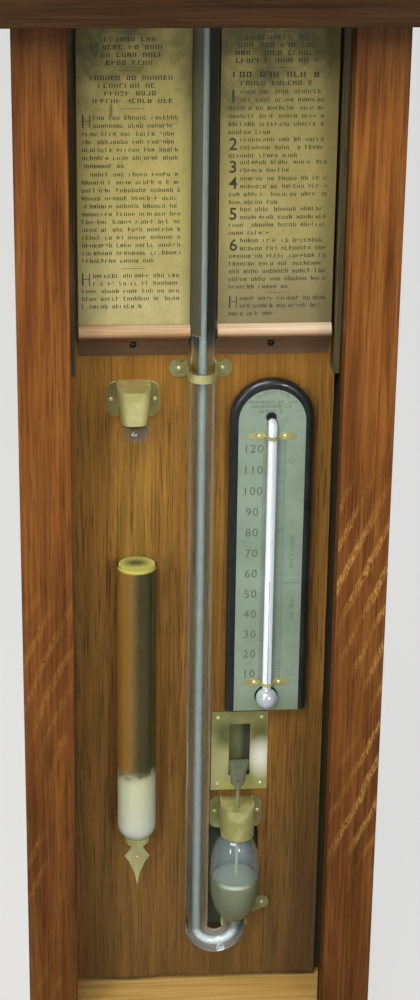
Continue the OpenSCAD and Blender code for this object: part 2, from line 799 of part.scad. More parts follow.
module bend(r) {
    translate([tube_x + bend_r, y_tube, z_bend]) rotate([90, 0, 0]) rotate([0, 0, 180])
        rotate_extrude(angle = 180, $fn = 96) translate([bend_r, 0]) circle(r = r, $fn = 48);
}

module siphon_outside() {
    rr = tube_d / 2;
    translate([tube_x, y_tube, z_bend]) cylinder(r = rr, h = z_level + tube_rise - z_bend - rr, $fn = 64);
    translate([tube_x, y_tube, z_level + tube_rise - rr]) sphere(r = rr, $fn = 64);
    bend(rr);
    translate([bulb_x, y_tube, z_level]) rotate_extrude($fn = 96) polygon(concat(
        [[0, z_bend - z_level], [rr, z_bend - z_level]],
        bulb_profile(0, rr, neck_r),
        [[neck_r, neck_rise - 1.5], [neck_r + 0.7, neck_rise - 0.8]],
        [[neck_r + 0.7, neck_rise], [0, neck_rise]]));
}

module siphon_bore(r) {
    gap = bore_d / 2 - r;
    translate([tube_x, y_tube, z_bend])
        cylinder(r = r, h = z_level + tube_rise - tube_d / 2 - z_bend, $fn = 48);
    bend(r);
    translate([bulb_x, y_tube, z_level]) rotate_extrude($fn = 96) polygon(concat(
        [[0, z_bend - z_level], [r, z_bend - z_level]],
        bulb_profile(bulb_wall + gap, r, neck_r - bulb_wall - gap),
        [[neck_r - bulb_wall - gap, neck_rise + 1], [0, neck_rise + 1]]));
}

module siphon_tube() {
    color("lightblue", 0.4) difference() {
        siphon_outside();
        siphon_bore(bore_d / 2);
    }
}

// Mercury in both legs, hollow round the rod and the plug over their travel
module mercury() {
    color("silver") difference() {
        intersection() {
            siphon_bore(bore_d / 2 - fit);
            union() {
                block([tube_x - tube_d / 2, y_tube - 20, z_bend - 30],
                    [tube_x + tube_d / 2, y_tube + 20, z_level + column_h]);
                block([tube_x + tube_d / 2, y_tube - 20, z_bend - 30],
                    [bulb_x + 30, y_tube + 20, z_level]);
            }
        }
        translate([rod_x, y_tube, z_plug - plug_down - plug_clear])
            cylinder(r = plug_r + plug_clear, h = z_level - z_plug + plug_down + 5, $fn = 48);
    }
}

// Tube fittings

// Band that stands off the board on two legs and rounds the front of a tube
module band(x, y, r_in, y_foot) {
    r = r_in + sheet;
    translate([x, y]) difference() {
        union() {
            circle(r = r, $fn = 64);
            translate([-r, 0]) square([2 * r, y_foot - y]);
        }
        circle(r = r_in, $fn = 64);
        translate([-r_in, 0]) square([2 * r_in, y_foot - y + 1]);
        translate([-r - 1, y_foot - y]) square([2 * r + 2, r + 1]);
    }
}

// Round ear with a scallop in its upper edge, seen from the front
module scallop_ear(x, z, s) {
    root = tube_d / 2 + glass_clear;
    difference() {
        union() {
            translate([x + s * (ear_x - scallop_in), z]) circle(r = ear_r, $fn = 48);
            translate([x + (s > 0 ? root : -ear_x), z - strap_h / 2]) square([ear_x - root, strap_h + 2]);
        }
        translate([x + s * (root + 3.6), z + ear_r]) circle(r = 2.2, $fn = 32);
    }
}

module strap(z, y_foot) {
    r_in = tube_d / 2 + glass_clear;
    color("darkkhaki") {
        translate([0, 0, z - strap_h / 2]) linear_extrude(strap_h) band(tube_x, y_tube, r_in, y_foot);
        difference() {
            slab(y_foot, sheet) for (s = [-1, 1]) scallop_ear(tube_x, z, s);
            pilot_holes([for (s = [-1, 1]) [tube_x + s * (ear_x - scallop_in), z]], y_foot + 1,
                y_foot - sheet - 1, nail_r + fit);
        }
    }
}

module tube_strap() { strap(z_strap, y_board); }
module upper_tube_strap() { strap(z_upper_strap, y_paper - paper_t); }

// One-eared clip: a leaf that runs down from its nail to a ring round the neck of the bulb
module neck_clip() {
    r_in = tube_d / 2 + glass_clear;
    hook = tube_d / 5;             // reach of the ring in front of the tube's axis
    ear_radius = 4.8;
    slope = atan2(z_clip_ear - z_clip + clip_h, clip_ear_x);
    color("darkkhaki") {
        translate([bulb_x, y_tube, z_clip - clip_h / 2]) linear_extrude(clip_h) difference() {
            union() {
                circle(r = r_in + sheet, $fn = 64);
                translate([-clip_h / 2, 0]) square([clip_h, tube_off]);
            }
            circle(r = r_in, $fn = 64);
            translate([-tube_d, -tube_d - hook]) square([2 * tube_d, tube_d]);
        }
        difference() {
            slab(y_board, sheet) {
                translate([bulb_x + clip_ear_x, z_clip_ear]) {
                    circle(r = ear_radius, $fn = 48);
                    rotate(slope) translate([-clip_ear_x - clip_h, -ear_radius])
                        square([clip_ear_x + clip_h, ear_radius * 1.3]);
                }
            }
            pilot_holes([[bulb_x + clip_ear_x, z_clip_ear]], y_board + 1, y_board - sheet - 1, nail_r + fit);
        }
    }
}

// Ears of a hood: upright plates beside the cap with rounded outer corners
module hood_ears(x, z0, z1, w_in, out) {
    r = out * 0.8;
    x_in = w_in / 2 - sheet;
    translate([x, 0]) for (s = [0, 1]) mirror([s, 0]) union() {
        translate([x_in, z0 + r]) square([out + sheet, z1 - z0 - 2 * r]);
        intersection() {
            for (z = [z0 + r, z1 - r]) translate([w_in / 2 + out - r, z]) circle(r = r, $fn = 48);
            translate([x_in, z0]) square([out + sheet, z1 - z0]);
        }
        translate([x_in, z0]) square([out + sheet - r, z1 - z0]);
    }
}

module bulb_hood() {
    w = bulb_hood_w;
    color("darkkhaki") {
        translate([0, 0, z_bulb_hood]) linear_extrude(bulb_hood_h)
            band(hood_x, y_tube, w / 2 - sheet, y_board);
        difference() {
            slab(y_board, sheet) hood_ears(hood_x, z_bulb_hood - 3, z_bulb_hood_top - 1.6, w, 6.4);
            pilot_holes([for (s = [-1, 1]) [hood_x + s * hood_ear_x, z_bulb_hood + ear_nail_up]],
                y_board + 1, y_board - sheet - 1, nail_r + fit);
        }
    }
}

// Lid let into the hood, with the rod's hole and a small vent
module bulb_lid() {
    r = bulb_hood_w / 2 - sheet - fit;
    vent_r = 0.7;
    color("khaki") translate([hood_x, 0, z_bulb_hood_top - 2.4]) linear_extrude(1) difference() {
        union() {
            translate([0, y_tube]) circle(r = r, $fn = 64);
            translate([-r, y_tube]) square([2 * r, tube_off]);
        }
        translate([rod_x - hood_x, y_tube]) circle(r = rod_r + 0.4, $fn = 32);
        translate([rod_x - hood_x - 2.2, y_tube + 2.6]) circle(r = vent_r, $fn = 32);
    }
}

module window_plate() {
    color("darkkhaki") difference() {
        slab(y_board, sheet) translate([window_x, 0]) difference() {
            panel(window_w, z_window, z_window + window_h);
            panel(slot_w, z_slot, z_slot + slot_h);
        }
        pilot_holes([for (s = [-1, 1], t = [-1, 1]) [window_x + s * wx, z_window + window_h / 2 + t * wz]],
            y_board + 1, y_board - sheet - 1, nail_r + fit);
    }
}

// Steel slide: a leaf behind the plate and a round-ended tongue that leans out to the rod
module plug_slide() {
    leaf_t = 1.2;
    lap = 2.5;                     // width of the leaf behind the plate, each side
    leaf_h = 7;
    tip_r = 4.4;
    boss_r = 2.2;
    y_leaf = y_board + fit;
    z_tip = z_slide - tongue_drop;
    color("slategray") difference() {
        union() {
            slab(y_leaf + leaf_t, leaf_t) translate([window_x, 0])
                panel(slot_w + 2 * lap, z_slide - leaf_h, z_slide);
            hull() {
                block([window_x - slot_w / 2 + fit, y_leaf, z_slide - leaf_t],
                    [window_x + slot_w / 2 - fit, y_leaf + leaf_t, z_slide]);
                translate([rod_x, y_tube + tip_r - boss_r, z_tip - leaf_t])
                    cylinder(r = tip_r, h = leaf_t, $fn = 48);
            }
            translate([rod_x, y_tube, z_tip - leaf_t - boss_r]) cylinder(r = boss_r, h = 3, $fn = 32);
        }
        translate([rod_x, y_tube, z_tip - 8]) cylinder(r = rod_r + fit, h = 12, $fn = 32);
    }
}

module plug_rod() {
    color("gray") translate([rod_x, y_tube, z_plug]) {
        rotate_extrude($fn = 48) polygon([[0, 0], [plug_r * 0.55, 0], [plug_r, plug_h * 0.6],
            [plug_r, plug_h], [0, plug_h]]);
        cylinder(r = rod_r, h = z_slide - tongue_drop + 0.6 - z_plug, $fn = 32);
    }
}

// Storm glass

// Half section over the foot: round foot, straight body, shoulder, neck and tip
function storm_profile(t, n = 10) = let (r = storm_d / 2 - t, neck = storm_neck_r - t) concat(
    [for (i = [0:n]) let (a = 90 * i / n) [r * sin(a), storm_d / 2 - r * cos(a)]],
    [for (i = [0:n]) let (a = 90 * i / n) [neck + (r - neck) * cos(a), storm_len + (r - neck) * sin(a)]],
    [for (i = [1:n]) let (a = 90 * i / n)
        [neck * cos(a), storm_len + storm_neck_h - storm_neck_r + neck * sin(a)]]);

module storm_glass() {
    color("lightblue", 0.4) translate([-storm_x, y_storm, z_storm]) rotate_extrude($fn = 96) difference() {
        polygon(concat(storm_profile(0), [[0, 0]]));
        polygon(concat(storm_profile(storm_wall), [[0, storm_wall]]));
    }
}

module storm_fill(z0, z1) {
    translate([-storm_x, y_storm, z_storm]) rotate_extrude($fn = 96) intersection() {
        polygon(concat(storm_profile(storm_wall + fit), [[0, storm_wall + fit]]));
        translate([0, z0]) square([storm_d, z1 - z0]);
    }
}

module storm_liquid() { color("darkolivegreen", 0.7) storm_fill(crystal_h + fit, liquid_h); }
module storm_crystals() { color("ivory") storm_fill(0, crystal_h); }

// Folded sheet hood: closed top, sides that draw in below, and two ears
module storm_hood() {
    w = storm_hood_w;
    d = y_board - y_storm + storm_d / 2 - 0.6;
    module shell(g) {
        hull() {
            translate([0, 0, storm_hood_h - eps]) linear_extrude(eps)
                hood_plan(w - 2 * g, w * 0.9 - 2 * g, d - g);
            translate([0, 0, 4]) linear_extrude(eps)
                hood_plan(w * 0.84 - 2 * g, w * 0.76 - 2 * g, d - 1 - g);
            linear_extrude(eps) hood_plan(w * 0.74 - 2 * g, w * 0.64 - 2 * g, d - 1.6 - g);
        }
    }
    color("darkkhaki") {
        translate([-storm_hood_x, y_board, z_storm_hood - storm_hood_h]) difference() {
            shell(0);
            difference() {
                translate([0, eps, -eps]) shell(sheet);
                translate([-w, -d - 1, storm_hood_h - sheet]) cube([2 * w, d + 2, 5]);
            }
        }
        slab(y_board, sheet) difference() {
            hood_ears(-storm_hood_x, z_storm_hood - storm_hood_h - 1.5, z_storm_hood - 1, w, 5.8);
            for (s = [-1, 1]) translate([-storm_hood_x + s * storm_ear_x, z_storm_hood - ear_nail_drop])
                circle(r = nail_r + fit, $fn = 24);
        }
    }
}

// Plan of the hood at one height: wide at the board, narrower and rounded in front
module hood_plan(w_back, w_front, d, n = 5) {
    r = w_front * 0.22;
    corner = [for (i = [0:n]) let (a = 90 * i / n) [w_front / 2 - r + r * cos(a), -d + r - r * sin(a)]];
    polygon(concat([[w_back / 2, 0]], corner,
        [for (i = [n:-1:0]) [-corner[i][0], corner[i][1]]], [[-w_back / 2, 0]]));
}

// Spear outline of half width w that hangs down by d
module spear(w, d) {
    half = [[0.67, 0.02], [0.67, -0.19], [0.43, -0.26], [0.51, -0.35], [1, -0.48], [0.66, -0.58],
        [0.22, -0.78]];
    polygon(concat(
        [for (p = half) [w * p[0], d * p[1]]],
        [[0, -d]],
        [for (i = [len(half) - 1:-1:0]) [-w * half[i][0], d * half[i][1]]]));
}

// Spear-shaped wall leaf with a dished shelf under the foot of the glass
module storm_bracket() {
    cup_r = 7.9;
    cup_h = 4;
    shelf = 1.4;                   // metal under the foot of the glass
    shelf_w = 10;
    color("darkkhaki") {
        translate([-storm_x, y_storm, z_storm]) difference() {
            translate([0, 0, -shelf]) union() {
                cylinder(r = cup_r, h = cup_h, $fn = 48);
                translate([-shelf_w / 2, 0, 0]) cube([shelf_w, y_board - y_storm, sheet]);
            }
            translate([0, 0, storm_d / 2]) sphere(r = storm_d / 2 + fit, $fn = 64);
        }
        difference() {
            slab(y_board, sheet) translate([-spear_x, z_storm]) spear(spear_w / 2, spear_len);
            pilot_holes([[-spear_x, z_storm - spear_len / 2]], y_board + 1, y_board - sheet - 1,
                nail_r + fit);
        }
    }
}

// Thermometer

module arch(w, h) {
    translate([-w / 2, 0]) square([w, h - w / 2]);
    translate([0, h - w / 2]) circle(r = w / 2, $fn = 128);
}

// Flat board with a full round along both sides and over the arch
module thermometer_board() {
    edge = thermo_t / 2;
    arch_z = thermo_len - thermo_w / 2;
    color("#20242a") difference() {
        translate([thermo_x, 0, z_thermo]) {
            slab(y_board, thermo_t) arch(thermo_w - 2 * edge, thermo_len - edge);
            for (s = [-1, 1]) translate([s * (thermo_w / 2 - edge), y_board - edge, 0])
                cylinder(r = edge, h = arch_z, $fn = 48);
            translate([0, y_board - edge, arch_z]) rotate([90, 0, 0]) rotate_extrude(angle = 180, $fn = 128)
                translate([thermo_w / 2 - edge, 0]) circle(r = edge, $fn = 48);
        }
        translate([thermo_x, y_stem, z_stem_bulb]) rotate([-90, 0, 0])
            cylinder(r = stem_bulb_r + slack, h = y_board - y_stem - 2, $fn = 48);
        translate([thermo_x, y_plate + 3, z_stem_top]) rotate([90, 0, 0])
            cylinder(r = stem_d / 2 + 0.4, h = 6, $fn = 32);
        pilot_holes(clip_nails, y_plate + 6, y_plate - 1, nail_r + fit);
    }
}

module scale_plate() {
    color("lightgray") difference() {
        slab(y_plate, plate_t) translate([thermo_x, z_thermo + 0.4])
            arch(plate_w, thermo_len - 1.15 * margin - 0.4);
        translate([thermo_x, y_stem, z_stem_bulb]) rotate([-90, 0, 0])
            cylinder(r = stem_bulb_r + slack, h = 10, $fn = 48);
        translate([thermo_x, y_plate + 3, z_stem_top]) rotate([90, 0, 0])
            cylinder(r = stem_d / 2 + 0.4, h = 6, $fn = 32);
        pilot_holes(clip_nails, y_plate + 1, y_plate - plate_t - 1, nail_r + fit);
    }
}

// Straight stem over its bulb
module stem_form(r, bulb, top) {
    translate([thermo_x, y_stem, z_stem_bulb]) {
        sphere(r = bulb, $fn = 48);
        cylinder(r = r, h = top, $fn = 32);
    }
}

module thermometer_tube() {
    tip_r = 3.6;
    color("white") difference() {
        union() {
            stem_form(stem_d / 2, stem_bulb_r, stem_len - tip_r);
            translate([thermo_x, y_stem, z_stem_bulb - stem_bulb_r - 1.2])
                cylinder(r1 = 0.5, r2 = 2.6, h = 2.4, $fn = 32);
            translate([thermo_x, y_stem + tip_r, z_stem_top - tip_r]) rotate([90, 0, 90]) rotate([0, 0, 90])
                rotate_extrude(angle = 90, $fn = 48) translate([tip_r, 0])
                    circle(r = stem_d / 2 - 0.05, $fn = 32);
        }
        stem_form(stem_bore / 2, stem_bulb_r - stem_wall, stem_len - 4 * tip_r);
    }
}

module thermometer_mercury() {
    color("silver") stem_form(stem_bore / 2 - fit, stem_bulb_r - stem_wall - fit, thread_len);
}

// Leaf ears joined by a loop over the stem, one clip at each end of the scale
module thermometer_clips() {
    r_in = stem_d / 2 + 0.25;
    y_foot = y_plate - plate_t;
    color("khaki") for (z = z_clips) {
        translate([0, 0, z - 1.1]) linear_extrude(2.2) translate([thermo_x, y_stem]) difference() {
            union() {
                circle(r = r_in + 0.6, $fn = 48);
                translate([-r_in - 0.6, 0]) square([2 * r_in + 1.2, y_foot - y_stem]);
            }
            circle(r = r_in, $fn = 48);
            translate([-r_in, 0]) square([2 * r_in, 10]);
        }
        difference() {
            slab(y_foot, 0.6) for (s = [-1, 1]) translate([thermo_x + s * (r_in + leaf_w * 0.46), z])
                intersection() {
                    translate([0, -leaf_w * 0.46]) circle(r = leaf_w * 0.66, $fn = 64);
                    translate([0, leaf_w * 0.46]) circle(r = leaf_w * 0.66, $fn = 64);
                    translate([s > 0 ? -leaf_w * 0.46 : -leaf_w * 0.54, -leaf_w / 3])
                        square([leaf_w, leaf_w * 2 / 3]);
                }
            pilot_holes(clip_nails, y_foot + 1, y_foot - 2, nail_r + fit);
        }
    }
}

// Round-headed nail driven back from the plane y
module nail(x, y, z, len, head = nail_head) {
    translate([x, y, z]) rotate([90, 0, 0]) {
        intersection() {
            translate([0, 0, -head / 2]) sphere(r = head * 1.2, $fn = 32);
            cylinder(r = head, h = 2 * head, $fn = 32);
        }
        translate([0, 0, -len]) cylinder(r = nail_r, h = len + 0.2, $fn = 24);
    }
}

module brass_nails() {
    color("gold") {
        for (p = nails) nail(p[0], y_board - sheet, p[1], nail_len - 1);
        for (p = clip_nails) nail(p[0], y_plate - plate_t - 0.6, p[1], 5);
        for (p = upper_nails) nail(p[0], y_paper - paper_t - sheet, p[1], nail_len - 1);
        for (p = mould_nails)
            nail(p[0], y_mould_nail, p[1], y_board + nail_len - 1 - y_mould_nail, mould_head);
    }
}

// Recording pointers

// Involute of a circle of radius b, rolled through the angle a in degrees
function involute(b, a) = [b * (cos(a) + a * PI / 180 * sin(a)), b * (sin(a) - a * PI / 180 * cos(a))];
function turn(p, a) = [p[0] * cos(a) - p[1] * sin(a), p[0] * sin(a) + p[1] * cos(a)];
function roll_to(b, r) = sqrt(max(0, r * r / (b * b) - 1)) * 180 / PI;

// Pinion outline, one tooth on the +x axis, involute flanks at 20 degrees
module pinion_plan() {
    base_r = pitch_r * cos(20);
    tip_r = pitch_r + tooth_m * 0.9;
    root_r = pitch_r - tooth_m * 1.2;
    a_pitch = roll_to(base_r, pitch_r);
    p_pitch = involute(base_r, a_pitch);
    half = 360 / teeth / 4 * 0.9 + atan2(p_pitch[1], p_pitch[0]);
    steps = 3;
    flank = [for (i = [0:steps]) turn(involute(base_r, roll_to(base_r, tip_r) * i / steps), -half)];
    union() {
        circle(r = root_r, $fn = 48);
        for (k = [0:teeth - 1]) rotate(k * 360 / teeth) polygon(concat(
            [[0, 0]],
            [turn([root_r, 0], -half)],
            flank,
            [for (i = [steps:-1:0]) [flank[i][0], -flank[i][1]]],
            [turn([root_r, 0], half)]));
    }
}

// Rack side view in y and z: a bar whose teeth point back, one gap at z = 0
module rack_plan(z0, z1) {
    tip = tooth_m * 0.9;
    root = tooth_m * 1.15;
    flank = tan(20);
    n0 = ceil(z0 / tooth_pitch);
    n1 = floor(z1 / tooth_pitch) - 1;
    w = tooth_pitch / 4 * 0.9;
    polygon(concat(
        [[-rack_back, z0], [-root, z0]],
        [for (k = [n0:n1]) let (c = (k + 0.5) * tooth_pitch) each [
            [-root, c - w - root * flank], [tip, c - w + tip * flank],
            [tip, c + w - tip * flank], [-root, c + w + root * flank]]],
        [[-root, z1], [-rack_back, z1]]));
}

// Pointer plate, stem and rack as one brass piece set at the height z
module pointer(s, z) {
    y_plate0 = y_paper - paper_t - 0.3;
    color("darkkhaki") {
        translate([0, y_rack, z_shaft]) run_x(s * pointer_x - rack_w / 2, rack_w)
            rack_plan(z - z_shaft - rack_down, z - z_shaft + pointer_h / 2);
        block([s * pointer_x - slot_gap / 2 + 0.3, y_plate0 - 0.1, z - 2.5],
            [s * pointer_x + slot_gap / 2 - 0.3, y_rack - rack_back + 0.1, z + 2.5]);
        slab(y_plate0, 1) {
            x_in = tube_d / 2 + 0.9;
            x_out = x_in + pointer_w;
            tip = pointer_w / 6;
            polygon([[s * x_in, z], [s * (x_in + tip), z - pointer_h / 2], [s * x_out, z - pointer_h / 2],
                [s * x_out, z + pointer_h * 0.2], [s * (x_out - 3), z + pointer_h / 2],
                [s * (x_in + 2.25 * tip), z + pointer_h / 2], [s * (x_in + 1.75 * tip), z]]);
        }
    }
}

module pointer_left() { pointer(-1, z_left); }
module pointer_right() { pointer(1, z_right); }

// Cross shaft with its pinion inside the board and its knob outside the cheek
module adjuster(s) {
    x_end = hood_w / 2 + 1;
    color("goldenrod") translate([0, y_shaft, z_shaft]) mirror([s > 0 ? 0 : 1, 0, 0]) {
        // a tooth points forwards, at the rack
        translate([pointer_x - rack_w / 2 - 0.4, 0, 0]) rotate([0, 90, 0]) rotate([0, 0, -90])
            linear_extrude(rack_w + 0.8) pinion_plan();
        translate([pointer_x - rack_w / 2 - 3, 0, 0]) rotate([0, 90, 0])
            cylinder(r = shaft_r, h = x_end - pointer_x + rack_w / 2 + 6, $fn = 32);
        translate([x_end, 0, 0]) rotate([0, 90, 0]) rotate_extrude($fn = 64) polygon(concat(
            [[0, 0], [knob_r * 0.55, 0], [knob_r * 0.42, knob_len * 0.2]],
            [for (i = [0:8]) let (a = -60 + 150 * i / 8)
                [knob_r * (0.72 + 0.28 * cos(a)), knob_len * (0.62 + 0.28 * sin(a))]],
            [[knob_r * 0.3, knob_len], [0, knob_len]]));
    }
}

module adjuster_left() { adjuster(-1); }
module adjuster_right() { adjuster(1); }

case_back();
case_side_left();
case_side_right();
case_floor();
front_stile_left();
front_stile_right();
bottom_rail();
base_moulding();
trunk_glass();
glass_beads();
hood_bar();
hood_bar_returns();
hood_cheek_left();
hood_cheek_right();
hood_stile_left();
hood_stile_right();
hood_top_rail();
hood_glass();
hood_top_board();
cornice();
pediment();
finial();
hanging_plate();
hanging_screws();
mounting_board();
register_board_left();
register_board_right();
register_moulding_left();
register_moulding_right();
lower_paper_left();
lower_paper_right();
upper_paper_left();
upper_paper_right();
side_batten_left();
side_batten_right();
siphon_tube();
mercury();
tube_strap();
upper_tube_strap();
neck_clip();
bulb_hood();
bulb_lid();
window_plate();
plug_slide();
plug_rod();
storm_glass();
storm_liquid();
storm_crystals();
storm_hood();
storm_bracket();
thermometer_board();
scale_plate();
thermometer_tube();
thermometer_mercury();
thermometer_clips();
brass_nails();
pointer_left();
pointer_right();
adjuster_left();
adjuster_right();
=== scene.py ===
"""Dresses the wall barometer: woodwork, registers, glass, mercury, brass and thermometer."""
import json
import math

import bpy
import bmesh
import numpy as np
from mathutils import Matrix, Vector


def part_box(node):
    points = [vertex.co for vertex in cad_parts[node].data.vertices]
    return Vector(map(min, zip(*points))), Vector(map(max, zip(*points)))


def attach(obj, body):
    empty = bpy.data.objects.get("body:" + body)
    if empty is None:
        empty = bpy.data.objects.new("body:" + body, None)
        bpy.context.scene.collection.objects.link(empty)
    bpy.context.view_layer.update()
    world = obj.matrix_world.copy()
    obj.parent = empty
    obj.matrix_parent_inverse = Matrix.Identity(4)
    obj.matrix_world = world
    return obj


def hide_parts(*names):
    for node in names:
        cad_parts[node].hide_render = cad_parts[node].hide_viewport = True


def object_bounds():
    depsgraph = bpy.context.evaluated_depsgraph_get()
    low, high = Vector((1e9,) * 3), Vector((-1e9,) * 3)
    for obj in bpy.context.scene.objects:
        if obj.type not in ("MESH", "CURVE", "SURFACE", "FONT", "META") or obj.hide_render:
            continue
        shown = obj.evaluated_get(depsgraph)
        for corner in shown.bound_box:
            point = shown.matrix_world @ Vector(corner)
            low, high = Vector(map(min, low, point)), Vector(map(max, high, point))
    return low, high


bl_info = {
    "name": "Siphon wall barometer",
    "version": (1, 0, 0),
    "blender": (4, 5, 0),
    "location": "3D View > Sidebar > Barometer",
    "description": "Builds the surfaces and finishes of a glazed wall barometer round its frame",
    "category": "Add Mesh",
}

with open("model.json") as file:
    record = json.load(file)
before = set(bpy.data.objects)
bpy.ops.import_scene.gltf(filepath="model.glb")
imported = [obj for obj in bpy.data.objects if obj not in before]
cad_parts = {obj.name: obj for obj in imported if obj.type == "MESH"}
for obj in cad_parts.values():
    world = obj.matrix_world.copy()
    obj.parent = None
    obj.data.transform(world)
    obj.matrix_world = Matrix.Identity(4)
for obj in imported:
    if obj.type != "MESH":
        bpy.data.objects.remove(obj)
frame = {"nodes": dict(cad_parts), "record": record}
CAD_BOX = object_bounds()
MM = 0.001
INCH = 25.4
CASE = "case"
# Finishes by name, filled by make_finishes
LOOKS = {}
# Angles between faces, in degrees: smooth below the first, eased above the second
SMOOTH_BELOW, EASED_ABOVE = 30, 40
FLOOR_REACH = 14.0
FLOOR_GLOW = 0.8, 0.8, 0.785
FLOOR_MIRRORED = 0.12, 0.13, 0.14
SEEN_LIGHT, MIRRORED_LIGHT = 0.85, 0.16
CAMERA_PLACE = -0.1087, -1.3236, -0.0635
# Places in millimetres: foot of the papers, where the tube goes over into the bulb, front of the window plate
PAPER_FOOT = -497.0
BULB_SIDE = 6.0, 9.0
PLATE_FRONT = -15.5
# Lip of the bulb, and the mercury: how much it enters the glass, and how far it curves down at its rim
LIP_RADIUS = 0.9
MERCURY_OVERLAP, MERCURY_CURVE = 0.02, 1.5
# Peaks of the loose crystals: rise, number round the glass and place of the first
PEAKS = (2.2, 3, 0.6), (1.5, 7, 2.1), (0.9, 17, 0.0), (0.6, 29, 1.0)
HOOD_SHEET, EAR_REACH, EAR_ROUNDING = 0.7, 5.8, 5.5
# Printed marks: height over the paper, depth in it, and half the thickness of a line
MARK_RAISED, MARK_SUNK, RULE_HALF = 0.03, 0.1, 0.12
# Inch scale: gap at the tube, lengths of the marks at an inch, a half and a tenth, and place of the numbers
INCH_GAP, INCH_MARKS, INCH_NUMBERS = 1.5, (7.0, 4.6, 3.0), 13
# Lamps: name of the lamp and of its setting, place, target and sides, in metres
LAMPS = (
    ("key", (-0.55, -1.25, 0.85), (0.0, -0.05, -0.5), (1.1, 0.9)),
    ("fill", (1.5, -2.0, 0.0), (0.0, -0.05, -0.6), (1.4, 1.4)),
    ("sparkle", (-0.85, -1.39, -0.34), (0.02, -0.03, -0.87), (0.16, 0.3)),
    ("sparkle", (0.56, -1.49, -0.18), (0.02, -0.03, -0.87), (0.16, 0.3)),
)


def span(node):
    """Lowest and highest corner of a node, in millimetres."""
    low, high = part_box(node)
    return np.array(low) / MM, np.array(high) / MM


def mercury_level():
    """Height of the mercury in the bulb, from the bend of the tube and the drop under that level."""
    tube = bpy.context.scene.barometer_tube
    low, high = span("siphon_tube")
    leg_x, bulb_x = low[0] + tube.diameter / 2, high[0] - tube.bulb_radius
    return low[2] + tube.diameter / 2 + (bulb_x - leg_x) / 2 + tube.bend_drop


def linear(red, green, blue):
    """A colour written in screen values from 0 to 255, as the linear value that a shader takes."""
    share = np.array([red, green, blue]) / 255
    return tuple(np.where(share > 0.04045, ((share + 0.055) / 1.055) ** 2.4, share / 12.92).tolist())


# Meshes


def grid_faces(rows, cols):
    """Quads between rings of points that are stored ring by ring, closed round each ring."""
    ring, point = np.arange(rows - 1)[:, None] * cols, np.arange(cols)[None, :]
    beside = (point + 1) % cols
    quads = ring + point, ring + beside, ring + cols + beside, ring + cols + point
    return np.stack(quads).reshape(4, -1).T


def add_mesh(name, points, faces, finish, body=CASE, crease=35):
    """Makes an object of points in millimetres, smooth except at edges sharper than the crease angle."""
    mesh = bpy.data.meshes.new(name)
    mesh.from_pydata((np.asarray(points, float).reshape(-1, 3) * MM).tolist(), [], faces)
    mesh.shade_smooth()
    mesh.set_sharp_from_angle(angle=math.radians(crease))
    mesh.materials.append(LOOKS[finish])
    piece = bpy.data.objects.new(name, mesh)
    bpy.context.scene.collection.objects.link(piece)
    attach(piece, body)
    return piece


def tube_mesh(points, start_pole=True, end_pole=True):
    """Points and faces of rings stacked in order, whose ends run to a point or get a flat cap."""
    rows, cols = points.shape[:2]
    faces = grid_faces(rows, cols).tolist()
    flat = points.reshape(-1, 3)
    last = (rows - 1) * cols
    ring = np.arange(cols)
    if start_pole:
        flat = np.vstack([flat, points[0].mean(0)])
        faces += np.stack([np.full(cols, len(flat) - 1), (ring + 1) % cols, ring]).T.tolist()
    else:
        faces.append(ring[::-1].tolist())
    if end_pole:
        flat = np.vstack([flat, points[-1].mean(0)])
        faces += np.stack([np.full(cols, len(flat) - 1), last + ring, last + (ring + 1) % cols]).T.tolist()
    else:
        faces.append((last + ring).tolist())
    return flat, faces


def revolved(profile, centre, around=64):
    """Rings of a profile of radius and height turned about the upright line through centre."""
    profile = np.asarray(profile, float)
    angle = np.linspace(0, 2 * math.pi, around, endpoint=False)
    radius, height = profile[:, :1], profile[:, 1:]
    ones = np.ones_like(angle)
    x, y, z = centre
    return np.stack([x + radius * np.cos(angle), y + radius * np.sin(angle), z + height * ones], axis=2)


def piped(centres, directions, radii, around=64):
    """Rings of the given radii round a path that stays in the plane of x and z."""
    angle = np.linspace(0, 2 * math.pi, around, endpoint=False)[None, :, None]
    side = np.stack([directions[:, 1], np.zeros(len(directions)), -directions[:, 0]], axis=1)[:, None]
    depth = np.array([0.0, 1.0, 0.0])
    return centres[:, None] + radii[:, None, None] * (np.cos(angle) * side + np.sin(angle) * depth)


def outward(outline):
    """Unit normals of a closed outline that runs anticlockwise, from the directions of its two neighbours."""
    along = np.roll(outline, -1, axis=0) - np.roll(outline, 1, axis=0)
    normal = np.stack([along[:, 1], -along[:, 0]], axis=1)
    return normal / np.linalg.norm(normal, axis=1, keepdims=True)


def plate_rings(outline, y_back, y_front, edge, inset):
    """Rings of a plate drawn in x and z whose rims are quarter ovals, edge deep and inset wide."""
    normal = outward(outline)
    turn = np.linspace(0, math.pi / 2, 5)
    inset = inset * np.concatenate([1 - np.sin(turn), 1 - np.cos(turn)])
    depth = np.concatenate([y_back - edge * (1 - np.cos(turn)), y_front + edge * (1 - np.sin(turn))])
    flat = outline[None] - inset[:, None, None] * normal[None]
    y = np.broadcast_to(depth[:, None, None], flat.shape[:2] + (1,))
    return np.concatenate([flat[..., :1], y, flat[..., 1:]], axis=2)


def add_plate(name, outline, y_back, y_front, edge, inset, finish, body=CASE):
    """A plate with rounded rims whose outline is a list of x and z, anticlockwise seen from the front."""
    rings = plate_rings(np.asarray(outline, float), y_back, y_front, edge, inset)
    points, faces = tube_mesh(rings, False, False)
    return add_mesh(name, points, faces, finish, body, crease=40)


def arc(centre, radius, start, end, count):
    """Points of a circular arc between two angles in degrees."""
    angle = np.radians(np.linspace(start, end, count))
    return np.stack([centre[0] + radius * np.cos(angle), centre[1] + radius * np.sin(angle)], axis=1)


